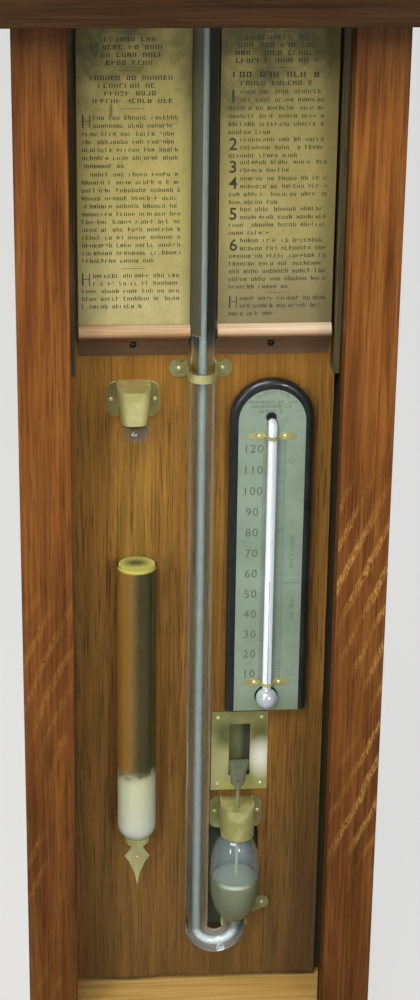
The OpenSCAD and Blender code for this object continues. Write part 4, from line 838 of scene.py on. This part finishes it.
class BAROMETER_OT_stage(bpy.types.Operator):
    """Floor, pale surroundings, soft lamps with narrow ones for the highlights, and the camera"""
    bl_idname = "barometer.stage"
    bl_label = "Stage"

    def execute(self, context):
        stage = context.scene.barometer_stage
        self.floor(context, tuple(stage.floor))
        self.surroundings(context, stage.surroundings)
        for name, *layout in LAMPS:
            self.lamp(context, name, getattr(stage, name), *layout)
        self.camera(context, stage)
        context.scene.view_settings.view_transform = "Standard"
        return {"FINISHED"}

    def floor(self, context, tint):
        """Pale square under the model, brighter where the camera sees it and dim in mirrors."""
        f = Finish("studio_floor", Roughness=0.8)
        f.feed("Base Color", f.mix(f.noise(2), tint, scaled(tint, 0.97)))
        rays = f.add("ShaderNodeLightPath").outputs
        surface = f.shader
        seen = f.product(rays["Is Camera Ray"], 0.75)
        for share, tone in ((seen, FLOOR_GLOW), (f.mirrored(rays), FLOOR_MIRRORED)):
            light = f.add("ShaderNodeEmission", {"Color": (*tone, 1), "Strength": 1.0})
            surface = f.add("ShaderNodeMixShader", {0: share, 1: surface.outputs[0], 2: light.outputs[0]})
        f.links.new(surface.outputs[0], f.nodes["Material Output"].inputs["Surface"])
        square = [(x * FLOOR_REACH, y * FLOOR_REACH, CAD_BOX[0].z)
                  for x, y in ((-1, -1), (1, -1), (1, 1), (-1, 1))]
        mesh = bpy.data.meshes.new("floor")
        mesh.from_pydata(square, [], [(0, 1, 2, 3)])
        mesh.materials.append(f.material)
        ground = bpy.data.objects.new("floor", mesh)
        context.scene.collection.objects.link(ground)

    def surroundings(self, context, level):
        """World light at a plain level, brighter where it is seen or shows through glass, dim in mirrors."""
        world = bpy.data.worlds.new("studio")
        context.scene.world = world
        world.use_nodes = True
        w = Nodes(world.node_tree)
        rays = w.add("ShaderNodeLightPath").outputs
        seen = w.math("MAXIMUM", rays["Is Camera Ray"], rays["Is Transmission Ray"])
        mirrored = w.mirrored(rays)
        strength = w.total((1.0, level), (SEEN_LIGHT - level, seen), (MIRRORED_LIGHT - level, mirrored))
        w.links.new(strength, w.nodes["Background"].inputs["Strength"])
        w.nodes["Background"].inputs["Color"].default_value = (1.0, 0.99, 0.97, 1)

    def lamp(self, context, name, watts, place, target, sides):
        data = bpy.data.lights.new(name, "AREA")
        data.energy = watts
        data.shape = "RECTANGLE"
        data.size, data.size_y = sides
        lamp = bpy.data.objects.new(name, data)
        context.scene.collection.objects.link(lamp)
        lamp.location = place
        lamp.rotation_euler = Vector(np.subtract(target, place)).to_track_quat("-Z", "Y").to_euler()

    def camera(self, context, stage):
        data = bpy.data.cameras.new("camera")
        data.lens = stage.lens
        data.sensor_fit = "VERTICAL"
        data.sensor_width = 36.0
        data.sensor_height = 36.0
        camera = bpy.data.objects.new("camera", data)
        context.scene.collection.objects.link(camera)
        camera.matrix_world = camera_matrix(stage.tilt, stage.yaw, stage.roll, CAMERA_PLACE)
        context.scene.camera = camera


def camera_matrix(tilt, yaw, roll, place):
    """World matrix from the camera's right, up and backward directions after yaw, tilt and roll."""
    ct, st = math.cos(tilt), math.sin(tilt)
    cy, sy = math.cos(yaw), math.sin(yaw)
    cr, sr = math.cos(roll), math.sin(roll)
    base = np.array([[1, 0, 0], [0, 0, -1], [0, 1, 0]], float)
    turn_yaw = np.array([[cy, 0, -sy], [0, 1, 0], [sy, 0, cy]])
    turn_tilt = np.array([[1, 0, 0], [0, ct, -st], [0, st, ct]])
    turn_roll = np.array([[cr, -sr, 0], [sr, cr, 0], [0, 0, 1]])
    right, down, ahead = turn_roll @ turn_tilt @ turn_yaw @ base
    columns = np.stack([right, -down, -ahead, np.array(place)], axis=1)
    return Matrix(np.vstack([columns, [0, 0, 0, 1]]).tolist())


class BAROMETER_OT_case(bpy.types.Operator):
    """Trunk: stiles, rail, sides, back, floor, base moulding and the glazing beads"""
    bl_idname = "barometer.case"
    bl_label = "Case"

    def execute(self, context):
        dress("stile_oak_left", 0.9, "front_stile_left")
        dress("stile_oak_right", 0.9, "front_stile_right")
        dress("rail_oak", 0.9, "bottom_rail")
        dress("side_oak", 0.5, "case_side_left", "case_side_right")
        dress("case_back_wood", 0.5, "case_back")
        dress("pine_floor", 0.4, "case_floor")
        dress("bar_oak", 0.5, "base_moulding")
        dress("dark_upright", 0.4, "glass_beads")
        return {"FINISHED"}


class BAROMETER_OT_hood(bpy.types.Operator):
    """Hood: bar, cheeks, stiles, rail, cornice, pediment and finial"""
    bl_idname = "barometer.hood"
    bl_label = "Hood"

    def execute(self, context):
        dress("bar_oak", 0.6, "hood_bar", "hood_bar_returns")
        dress("side_oak", 0.5, "hood_cheek_left", "hood_cheek_right", "hood_top_board")
        dress("hood_oak", 0.9, "hood_stile_left", "hood_stile_right")
        dress("rail_oak", 0.9, "hood_top_rail")
        dress("bar_oak", 0.5, "cornice")
        dress("rail_oak", 1.2, "pediment")
        dress("dark_upright", 0.3, "finial")
        return {"FINISHED"}


class BAROMETER_OT_panes(bpy.types.Operator):
    """The two sheets of old glass"""
    bl_idname = "barometer.panes"
    bl_label = "Panes"

    def execute(self, context):
        paint("pane_glass", "trunk_glass", "hood_glass")
        return {"FINISHED"}


class BAROMETER_OT_boards(bpy.types.Operator):
    """Mounting board, register boards with their mouldings, battens and papers"""
    bl_idname = "barometer.boards"
    bl_label = "Boards"

    def execute(self, context):
        dress("board_wood", 0.4, "mounting_board")
        for side in ("left", "right"):
            dress("register_wood", 0.3, "register_board_" + side)
            dress("moulding_wood", 0.4, "register_moulding_" + side)
            dress("batten_wood", 0.5, "side_batten_" + side)
            paint("aged_paper", "lower_paper_" + side, "upper_paper_" + side)
        return {"FINISHED"}


class BAROMETER_OT_siphon(bpy.types.Operator):
    """Siphon tube with its bend and open bulb, and the mercury in it"""
    bl_idname = "barometer.siphon"
    bl_label = "Siphon tube"

    def execute(self, context):
        tube = context.scene.barometer_tube
        low, high = span("siphon_tube")
        self.radius = tube.diameter / 2
        self.leg_x = low[0] + self.radius
        self.bulb_x = high[0] - tube.bulb_radius
        self.y = (low[1] + high[1]) / 2
        self.top = high[2]
        self.bend_radius = (self.bulb_x - self.leg_x) / 2
        self.bend_z = low[2] + self.radius + self.bend_radius
        self.level = mercury_level()
        self.add_glass(tube)
        self.add_mercury(tube)
        return {"FINISHED"}

    def path(self, leg, upright):
        """Centres and directions: down the heights in the leg, round the bend, up the heights in the bulb.

        The third value is the number of places round the bend.
        """
        turn = np.linspace(0, math.pi, 49)
        x = np.concatenate([np.full(len(leg), self.leg_x),
                            (self.leg_x + self.bend_radius) - self.bend_radius * np.cos(turn),
                            np.full(len(upright), self.bulb_x)])
        z = np.concatenate([leg, self.bend_z - self.bend_radius * np.sin(turn), upright])
        across = np.concatenate([np.zeros(len(leg)), np.sin(turn), np.zeros(len(upright))])
        rise = np.concatenate([-np.ones(len(leg)), -np.cos(turn), np.ones(len(upright))])
        centres = np.stack([x, np.full_like(x, self.y), z], axis=1)
        return centres, np.stack([across, rise], axis=1), len(turn)

    def swell(self, tube, heights, wall, least_low, least_high):
        """Bulb radius at heights over the level: a rounded oblong that runs into the leg and the neck."""
        middle = (tube.bulb_up - tube.bulb_down) / 2
        half = (tube.bulb_up + tube.bulb_down) / 2 - wall
        share = np.clip(np.abs(heights - middle) / half, 0, 1)
        radius = (tube.bulb_radius - wall) * (1 - share ** 2.4) ** (1 / 2.4)
        return np.maximum(radius, np.where(heights < middle, least_low, least_high))

    def wall_rings(self, tube, leg, radii, wall, low_least, high_least, heights):
        """Centres, directions and radii of one face of the wall: leg, bend, bulb and neck."""
        centres, directions, bend = self.path(leg, self.level + heights)
        bulb = self.swell(tube, heights, wall, low_least, high_least)
        return centres, directions, np.concatenate([radii, np.full(bend, low_least), bulb])

    def add_glass(self, tube):
        r, bore = self.radius, tube.bore / 2
        dome = np.linspace(math.pi / 2, 0, 10)[1:]
        heights = np.concatenate([np.linspace(-tube.bulb_down, tube.bulb_up, 60),
                                  np.linspace(tube.bulb_up + 1, tube.neck_rise - 1.5, 6)])
        straight = np.linspace(self.top - r - 5, self.bend_z + 5, 40)
        leg = np.concatenate([self.top - r + r * np.sin(dome), straight])
        outer = self.wall_rings(tube, leg, np.concatenate([r * np.cos(dome), np.full(40, r)]), 0.0, r,
                                tube.neck_radius, heights)
        tip = np.concatenate([self.top - r + bore * np.sin(dome), straight])
        inner = self.wall_rings(tube, tip, np.concatenate([bore * np.cos(dome), np.full(40, bore)]),
                                tube.bulb_wall, bore, tube.neck_radius - tube.bulb_wall, heights)
        middle = tube.neck_radius - tube.bulb_wall / 2
        lip = arc((middle, self.level + tube.neck_rise - LIP_RADIUS), LIP_RADIUS, -60, 240, 9)
        centres = np.stack([np.full(9, self.bulb_x), np.full(9, self.y), lip[:, 1]], axis=1)
        rings = np.concatenate([
            piped(*outer),
            piped(centres, np.tile([0.0, 1.0], (9, 1)), lip[:, 0]),
            piped(*inner)[::-1]])
        points, faces = tube_mesh(rings)
        piece = add_mesh("siphon_glass", points, faces, "tube_glass")
        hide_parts("siphon_tube")

    def add_mercury(self, tube):
        bore = tube.bore / 2 + MERCURY_OVERLAP
        column = span("mercury")[1][2]
        dome = np.linspace(math.pi / 2, 0, 8)[1:]
        leg = np.concatenate([column - bore * 0.5 * (1 - np.sin(dome)),
                              np.linspace(column - 4, self.bend_z + 4, 40)])
        heights = np.linspace(-tube.bulb_down + tube.bulb_wall, -MERCURY_CURVE - 0.1, 40)
        wall = tube.bulb_wall - MERCURY_OVERLAP
        filled = self.wall_rings(tube, leg, np.concatenate([bore * np.cos(dome), np.full(40, bore)]),
                                 wall, bore, bore, heights)
        edge = self.swell(tube, np.zeros(1), wall, bore, bore)[0]
        inset = np.array([0.0, 0.15, 0.5, 1.1, 2.0, 3.4, 6.0, 10.0, edge - 0.4])
        surface = -MERCURY_CURVE * np.exp(-inset / 1.1)
        count = len(inset)
        centres = np.stack([np.full(count, self.bulb_x), np.full(count, self.y), self.level + surface], 1)
        meniscus = piped(centres, np.tile([0.0, 1.0], (count, 1)), edge - inset)
        rings = np.concatenate([piped(*filled), meniscus])
        points, faces = tube_mesh(rings)
        piece = add_mesh("mercury_column", points, faces, "mercury")
        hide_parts("mercury")


# Printed and engraved marks


def slabs(bars, surface):
    """Points and faces of upright oblong marks on a surface. A row of bars is a lowest and highest x, then z."""
    x0, x1, z0, z1 = np.asarray(bars, float).T
    back, front = np.full(len(x0), surface + MARK_SUNK), np.full(len(x0), surface - MARK_RAISED)
    points = np.stack([np.stack([x, y, z], axis=1)
                       for x in (x0, x1) for y in (front, back) for z in (z0, z1)], axis=1)
    sides = np.array([(0, 1, 3, 2), (4, 6, 7, 5), (0, 4, 5, 1), (2, 3, 7, 6), (0, 2, 6, 4), (1, 5, 7, 3)])
    faces = sides[None] + 8 * np.arange(len(x0))[:, None, None]
    return points.reshape(-1, 3), faces.reshape(-1, 4)


def mock_letters(chance, starts, base, height, width, stroke, ascent=1.4):
    """Bars of made-up letters on a line: each keeps some of a left, right, top, middle and foot bar."""
    tall = np.where(chance.random(len(starts)) < 0.28, ascent, 1.0) * height
    left, right, base = starts, starts + width, np.broadcast_to(base, starts.shape)
    thin = 0.6 * stroke
    choices = [(0.95, left, left + stroke, base, base + tall),
               (0.66, right - stroke, right, base, base + height),
               (0.42, left, right, base + height - thin, base + height),
               (0.3, left, right, base + 0.5 * height, base + 0.5 * height + thin),
               (0.42, left, right, base, base + thin)]
    return np.concatenate([np.stack(bars, axis=1)[chance.random(len(starts)) < odds]
                           for odds, *bars in choices])


def mock_line(chance, start, end, centre, height, pitch, stroke, ascent=1.4):
    """Bars of a line of made-up words of two to nine letters that fills the length from start to end."""
    slots = np.arange(max(1, round((end - start) / pitch)))
    breaks = np.cumsum(chance.integers(3, 10, len(slots)))
    starts = start + pitch * slots[~np.isin(slots, breaks)]
    return mock_letters(chance, starts, centre - height / 2, height, 0.72 * pitch, stroke, ascent)


def figures(entries, height, y, spread=1.0, heavy=0.0):
    """Points and faces of numerals in the built-in face, from entries of text, x and z of the middle."""
    points, faces, count = [], [], 0
    for text, x, z in entries:
        curve = bpy.data.curves.new("figure", "FONT")
        curve.body, curve.size, curve.extrude = text, height / 0.7, 0.03
        curve.align_x = curve.align_y = "CENTER"
        curve.resolution_u, curve.space_character, curve.offset = 3, spread, heavy
        carrier = bpy.data.objects.new("figure", curve)
        mesh = bpy.data.meshes.new_from_object(carrier)
        work = bmesh.new()
        work.from_mesh(mesh)
        bmesh.ops.remove_doubles(work, verts=work.verts, dist=1e-4)
        work.verts.index_update()
        flat = np.array([v.co for v in work.verts])
        points.append(np.stack([x + flat[:, 0], y - flat[:, 2], z + flat[:, 1]], axis=1))
        faces += [[count + v.index for v in face.verts] for face in work.faces]
        count += len(flat)
        work.free()
        bpy.data.objects.remove(carrier)
        bpy.data.curves.remove(curve)
        bpy.data.meshes.remove(mesh)
    return np.concatenate(points), faces


def joined(*parts):
    """One list of points and faces from several."""
    points, faces, count = [], [], 0
    for part_points, part_faces in parts:
        points.append(part_points)
        faces += [[count + k for k in face] for face in np.asarray(part_faces, dtype=object).tolist()]
        count += len(part_points)
    return np.concatenate(points), faces


# Blocks of the printed papers: kind, left and right edge, height of the first line, number of lines
LEFT_PRINT = (
    ("heading", -70.8, -15.3, -322.9, 4),
    ("rule", -51.1, -38.0, -340.7, 1),
    ("heading", -70.9, -15.3, -344.8, 4),
    ("rule", -51.2, -35.7, -362.5, 1),
    ("initial", -71.2, -15.0, -367.9, 7),
    ("indent", -71.6, -14.6, -401.1, 12),
    ("rule", -49.1, -34.4, -457.4, 1),
    ("initial", -72.0, -14.3, -461.9, 5),
)
RIGHT_PRINT = (
    ("heading", 12.4, 67.9, -322.0, 4),
    ("rule", 33.8, 47.0, -339.2, 1),
    ("bold", 15.0, 67.2, -343.2, 1),
    ("heading", 12.8, 68.5, -348.1, 1),
    ("1", 13.0, 69.1, -353.3, 6),
    ("2", 13.4, 69.8, -381.1, 3),
    ("3", 13.5, 70.1, -394.5, 2),
    ("4", 13.8, 70.6, -404.1, 4),
    ("5", 14.0, 71.2, -422.5, 4),
    ("6", 14.4, 72.0, -441.3, 7),
    ("rule", 36.7, 50.4, -473.0, 1),
    ("initial", 14.8, 72.8, -476.7, 3),
)
# The scale plate: left and right ends of its degree marks, of its worn words with their height, and the
# place of the words that run down it with their highest and lowest point
DEGREE_TICKS = (38.3, 40.6), (46.8, 51.2)
PLATE_WORDS = (27.5, 58.5, -543.6), (29.8, 56.0, -546.3), (35.0, 50.0, -549.5)
UPRIGHT_WORDS = (56.9, -632, -655), (57.8, -673, -690)


class BAROMETER_OT_print(bpy.types.Operator):
    """Made-up print on the lower papers, and the inch scale on the upper papers"""
    bl_idname = "barometer.print"
    bl_label = "Print"

    def execute(self, context):
        sizes = context.scene.barometer_print
        chance = np.random.default_rng(11)
        for side, blocks in (("left", LEFT_PRINT), ("right", RIGHT_PRINT)):
            front = span("lower_paper_" + side)[0][1]
            bars = np.concatenate([self.block(chance, sizes, *block) for block in blocks])
            parts = [slabs(bars, front)]
            numbers = [(kind, left + 2.4, z - 0.6 * sizes.line_gap)
                       for kind, left, _, z, _ in blocks if kind.isdigit()]
            if numbers:
                parts.append(figures(numbers, 1.5 * sizes.line_gap, front, 1.0, 0.16))
            add_mesh("print_" + side, *joined(*parts), "printed_ink", crease=20)
            self.inch_scale(sizes, side)
        return {"FINISHED"}

    def block(self, chance, sizes, kind, left, right, z, lines):
        """Bars of one block: a rule, centred capitals, or text with room for a large letter at its start."""
        if kind == "rule":
            return np.array([(left, right, z - RULE_HALF, z + RULE_HALF)])
        letter, stroke, gap = sizes.letter, sizes.stroke, sizes.line_gap
        heights = z - gap * np.arange(lines)
        if kind in ("heading", "bold"):
            strong = 1.35 if kind == "heading" else 1.75
            share = chance.uniform(0.5, 0.88, lines) if kind == "heading" else [1.0]
            middle, half = (left + right) / 2, (right - left) / 2
            return np.concatenate([
                mock_line(chance, middle - half * s, middle + half * s, h, letter * strong,
                          1.2 * letter * strong, stroke * strong, 1.0)
                for h, s in zip(z - 0.94 * gap * np.arange(lines), share)])
        short, room = (1, 5) if kind == "indent" else (2, 6.5)
        starts = np.where(np.arange(lines) < short, left + room, left)
        last = left + (right - left) * chance.uniform(0.35, 0.8)
        ends = np.where(np.arange(lines) == lines - 1, last, right)
        text = [mock_line(chance, a, b, h, letter, 1.2 * letter, stroke)
                for a, b, h in zip(starts, ends, heights)]
        if kind == "initial":
            low, high = z - gap - letter / 2, z + letter
            text.append(np.array([(left, left + 0.9, low, high), (left + 4.2, left + 4.7, low, high),
                                  (left, left + 4.7, (low + high) / 2, (low + high) / 2 + 0.4)]))
        return np.concatenate(text)

    def inch_scale(self, sizes, side):
        """Tenths of an inch of mercury along the tube, long marks and a number at each inch."""
        level = mercury_level()
        low, high = span("upper_paper_" + side)
        front = low[1]
        away = 1 if side == "right" else -1
        edge = low[0] if side == "right" else high[0]
        tenths = np.arange(264, 314)
        heights = level + INCH * tenths / 10
        whole, half, tenth = INCH_MARKS
        long = np.where(tenths % 10 == 0, whole, np.where(tenths % 5 == 0, half, tenth))
        starts = np.full(len(heights), edge + INCH_GAP * away)
        ends = np.sort(np.stack([starts, edge + away * (INCH_GAP + long)], axis=1), axis=1)
        ticks = np.column_stack([ends, heights - RULE_HALF, heights + RULE_HALF])
        x = edge + away * (INCH_GAP - 0.1)
        line = np.array([(x - 0.1, x + 0.1, heights[0] - RULE_HALF, heights[-1] + RULE_HALF)])
        numbers = [(str(n), edge + away * INCH_NUMBERS, level + INCH * n) for n in range(27, 32)]
        parts = joined(slabs(np.concatenate([ticks, line]), front), figures(numbers, 2.1 * sizes.letter, front))
        add_mesh("inch_scale_" + side, *parts, "printed_ink", crease=20)


class BAROMETER_OT_storm(bpy.types.Operator):
    """Storm glass with its liquid and its bed of crystals"""
    bl_idname = "barometer.storm"
    bl_label = "Storm glass"

    def execute(self, context):
        storm = context.scene.barometer_storm
        low, high = span("storm_glass")
        radius = (high[0] - low[0]) / 2
        foot = np.array([(low[0] + high[0]) / 2, (low[1] + high[1]) / 2, low[2]])
        length = high[2] - low[2] - storm.shoulder
        outer = tube_mesh(revolved(self.profile(storm, radius, length, 0.0), foot, 96))
        inner = tube_mesh(revolved(self.profile(storm, radius, length, storm.wall)[::-1], foot, 96))
        glass = add_mesh("storm_glass_body", *joined(outer, inner), "storm_glass_clear")
        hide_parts("storm_glass")
        fill = radius - storm.wall + 0.03
        self.add_liquid(storm, foot, fill)
        self.add_crystals(storm, foot, fill + 0.02)
        return {"FINISHED"}

    def profile(self, storm, radius, length, wall):
        """Half section: round foot, straight body, shoulder drawn in to a sealed neck."""
        r, neck, tip = radius - wall, storm.neck - wall, storm.shoulder
        turn = np.radians(np.linspace(0, 90, 24))
        foot = np.stack([r * np.sin(turn), radius - r * np.cos(turn)], axis=1)[1:]
        body = np.stack([np.full(30, r), np.linspace(radius + 3, length - 3, 30)], axis=1)
        shoulder = np.stack([neck + (r - neck) * np.cos(turn), length + (r - neck) * np.sin(turn)], axis=1)
        end = np.stack([neck * np.cos(turn), length + tip - storm.neck + neck * np.sin(turn)], axis=1)[:-1]
        return np.concatenate([foot, body, shoulder, end])

    def add_liquid(self, storm, foot, fill):
        level = span("storm_liquid")[1][2] - foot[2]
        start = span("storm_liquid")[0][2] - foot[2] - 14.0
        inset = np.array([0.0, 0.25, 0.6, 1.2, 2.2, 4.0, 7.0, fill - 0.3])
        top = np.stack([fill - inset, level + storm.meniscus * np.exp(-inset / 1.3)], axis=1)
        side = np.stack([np.full(24, fill), np.linspace(start, level - 1, 24)], axis=1)
        points, faces = tube_mesh(revolved(np.concatenate([side, top]), foot, 96), start_pole=False)
        piece = add_mesh("storm_solution", points, faces, "storm_liquid")
        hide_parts("storm_liquid")

    def add_crystals(self, storm, foot, fill):
        """Bed of crystals: the inside of the round foot, with a top broken by ridges and peaks."""
        height = span("storm_crystals")[1][2] - foot[2] + storm.wisps
        radius = fill + storm.wall
        turn = np.radians(np.linspace(4, 90, 20))
        round_foot = np.stack([fill * np.sin(turn), radius - fill * np.cos(turn)], axis=1)
        side = np.stack([np.full(30, fill), np.linspace(radius + 2, height - 5, 30)], axis=1)
        share = np.linspace(1, 0.03, 18)
        top = np.stack([fill * share, np.full(18, height - 3.0)], axis=1)
        rings = revolved(np.concatenate([round_foot, side, top]), foot, 96)
        around = np.linspace(0, 2 * math.pi, 96, endpoint=False)
        peaks = sum(rise * np.sin(number * around + start) for rise, number, start in PEAKS)
        crown = np.clip((rings[..., 2] - foot[2] - radius) / (height - radius), 0, 1) ** 2
        inward = np.linalg.norm(rings[..., :2] - foot[:2], axis=2) / fill
        ripple = np.sin(9 * inward + 2 * around) * 1.1
        rings[..., 2] += crown * (peaks * inward + ripple)
        points, faces = tube_mesh(rings)
        piece = add_mesh("storm_crystal_bed", points, faces, "storm_crystals", crease=80)
        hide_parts("storm_crystals")


class BAROMETER_OT_fittings(bpy.types.Operator):
    """Straps, clip, hoods, lid, bracket and window plate of sheet brass, and the round-headed nails"""
    bl_idname = "barometer.fittings"
    bl_label = "Brass fittings"

    def execute(self, context):
        dress("aged_brass", 0.25, "tube_strap", "upper_tube_strap", "neck_clip", "bulb_hood", "bulb_lid",
              "storm_bracket", "hanging_plate")
        self.storm_hood()
        dress("window_brass", 0.25, "window_plate")
        dress("aged_brass", 0.15, "thermometer_clips")
        dress("nail_brass", 0.0, "brass_nails")
        dress("dull_steel", 0.1, "hanging_screws")
        dress("dull_steel", 0.15, "plug_slide")
        dress("dull_steel", 0.0, "plug_rod")
        return {"FINISHED"}

    def storm_hood(self):
        """Folded hood: a rounded front that draws in below and is open there, and an ear on either side."""
        low, high = span("storm_hood")
        x, sheet = (low[0] + high[0]) / 2, HOOD_SHEET
        half = (high[0] - low[0]) / 2 - EAR_REACH
        depth, top, bottom = high[1] - low[1], high[2] - 0.3, low[2] + 1.5
        share = np.linspace(0, 1, 14)
        width = half * (1 - 0.2 * share ** 1.3)
        forward = depth - 1.8 * share
        outer = self.hood_rings(x, high[1], width, forward, top + (bottom - top) * share)
        inner = self.hood_rings(x, high[1], width - sheet, forward - sheet,
                                top - sheet + (bottom + sheet - top) * share)
        lid = np.linspace(0.05, 1, 8)
        cover = self.hood_rings(x, high[1], half * lid, depth * (0.02 + 0.98 * lid), np.full(8, top))
        points, faces = tube_mesh(np.concatenate([cover[:-1], outer, inner[::-1]]))
        shell = add_mesh("storm_hood_shell", points, faces, "hood_brass", crease=50)
        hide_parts("storm_hood")
        for side in (-1, 1):
            r = EAR_ROUNDING
            edge, base, head = half + EAR_REACH, low[2], high[2] - 1.0
            outline = np.concatenate([[(half - 1, base)], arc((edge - r, base + r), r, -90, 0, 8),
                                      arc((edge - r, head - r), r, 0, 90, 8), [(half - 1, head)]])
            outline[:, 0] = x + side * outline[:, 0]
            add_plate("storm_hood_ear", outline[::side], high[1], high[1] - sheet, 0.34, 0.9, "ear_brass")

    def hood_rings(self, x, back, half, forward, heights):
        """Plan curves at heights: a flat back on the board and a front whose corners are well rounded."""
        turn = np.linspace(0, math.pi, 41)
        across = np.sign(np.cos(turn)) * np.abs(np.cos(turn)) ** 0.55
        out = np.sin(turn) ** 0.42
        return np.stack([x + half[:, None] * across, back - forward[:, None] * out,
                         heights[:, None] * np.ones_like(turn)], axis=2)


class BAROMETER_OT_thermometer(bpy.types.Operator):
    """Ebonised board, silvered plate with its degrees, enamelled stem and its mercury"""
    bl_idname = "barometer.thermometer"
    bl_label = "Thermometer"

    def execute(self, context):
        dress("ebonised_wood", 0.0, "thermometer_board")
        dress("silvered_plate", 0.15, "scale_plate")
        dress("enamel_stem", 0.0, "thermometer_tube")
        paint("mercury", "thermometer_mercury")
        self.degrees(context.scene.barometer_print)
        return {"FINISHED"}

    def degrees(self, sizes):
        """Numbers and degree marks beside the stem, ruled lines, and worn made-up words."""
        low, high = span("scale_plate")
        front = low[1]
        ten, degree = sizes.ten_degrees, sizes.ten_degrees / 10
        first = low[2] + 26.1
        heights = first + degree * np.arange(-4, 116)
        ticks = np.concatenate([
            np.column_stack([np.full(120, a), np.full(120, b), heights - RULE_HALF, heights + RULE_HALF])
            for a, b in DEGREE_TICKS])
        top = heights[-1] + 1
        rules = np.array([(37.9, 38.1, heights[0] - 1, top), (51.4, 51.6, heights[0] - 1, top),
                          (51.6, 62.6, -664.1, -663.85)])
        chance = np.random.default_rng(5)
        words = [self.curved_word(chance)]
        for start, end, z in PLATE_WORDS:
            words.append(mock_line(chance, start, end, z, 1.7, 2.1, 0.3))
        for x, start, end in UPRIGHT_WORDS:
            along, up = np.split(mock_line(chance, -start, -end, x, 2.0, 3.2, 0.32), 2, axis=1)
            words.append(np.column_stack([up, -along[:, ::-1]]))
        numbers = [(str(10 * n), 31.6, first + ten * (n - 1)) for n in range(1, 13)]
        parts = joined(slabs(np.concatenate([ticks, rules] + words), front), figures(numbers, 5.3, front, 1.15))
        add_mesh("scale_marks", *parts, "engraved_mark", crease=20)

    def curved_word(self, chance):
        """A made-up word on an arc: a letter's foot drops with the square of its distance from the middle."""
        starts = np.linspace(33.5, 51.0, 8)
        return mock_letters(chance, starts, -538.0 - 0.035 * (starts - 42.3) ** 2, 2.0, 1.7, 0.32)


class BAROMETER_OT_pointers(bpy.types.Operator):
    """Recording pointers with their racks, and the knobs with their pinions"""
    bl_idname = "barometer.pointers"
    bl_label = "Recording pointers"

    def execute(self, context):
        for side in ("left", "right"):
            dress("aged_brass", 0.1, "pointer_" + side)
            dress("knob_brass", 0.1, "adjuster_" + side)
        return {"FINISHED"}


class BAROMETER_PT_panel(bpy.types.Panel):
    """Settings and pieces of the barometer"""
    bl_idname = "BAROMETER_PT_panel"
    bl_label = "Barometer"
    bl_space_type = "VIEW_3D"
    bl_region_type = "UI"
    bl_category = "Barometer"

    def draw(self, context):
        for group in SETTINGS:
            settings = getattr(context.scene, group)
            box = self.layout.box()
            for name in settings.bl_rna.properties.keys():
                if name not in ("rna_type", "name"):
                    box.prop(settings, name)
        for operator in OPERATORS:
            self.layout.operator(operator.bl_idname)


SETTINGS = {
    "barometer_tones": ToneSettings,
    "barometer_tube": TubeSettings,
    "barometer_storm": StormSettings,
    "barometer_print": PrintSettings,
    "barometer_stage": StageSettings,
}

OPERATORS = (
    BAROMETER_OT_stage,
    BAROMETER_OT_case,
    BAROMETER_OT_hood,
    BAROMETER_OT_panes,
    BAROMETER_OT_boards,
    BAROMETER_OT_print,
    BAROMETER_OT_siphon,
    BAROMETER_OT_storm,
    BAROMETER_OT_fittings,
    BAROMETER_OT_thermometer,
    BAROMETER_OT_pointers,
)


def register():
    for group in (*SETTINGS.values(), *OPERATORS, BAROMETER_PT_panel):
        bpy.utils.register_class(group)
    for name, group in SETTINGS.items():
        setattr(bpy.types.Scene, name, bpy.props.PointerProperty(type=group))


def unregister():
    for name in SETTINGS:
        delattr(bpy.types.Scene, name)
    for group in (BAROMETER_PT_panel, *reversed(OPERATORS), *reversed(tuple(SETTINGS.values()))):
        bpy.utils.unregister_class(group)


def main():
    register()
    make_finishes(bpy.context.scene.barometer_tones)
    for operator in OPERATORS:
        group, name = operator.bl_idname.split(".")
        getattr(getattr(bpy.ops, group), name)()


if __name__ == "__main__":
    main()
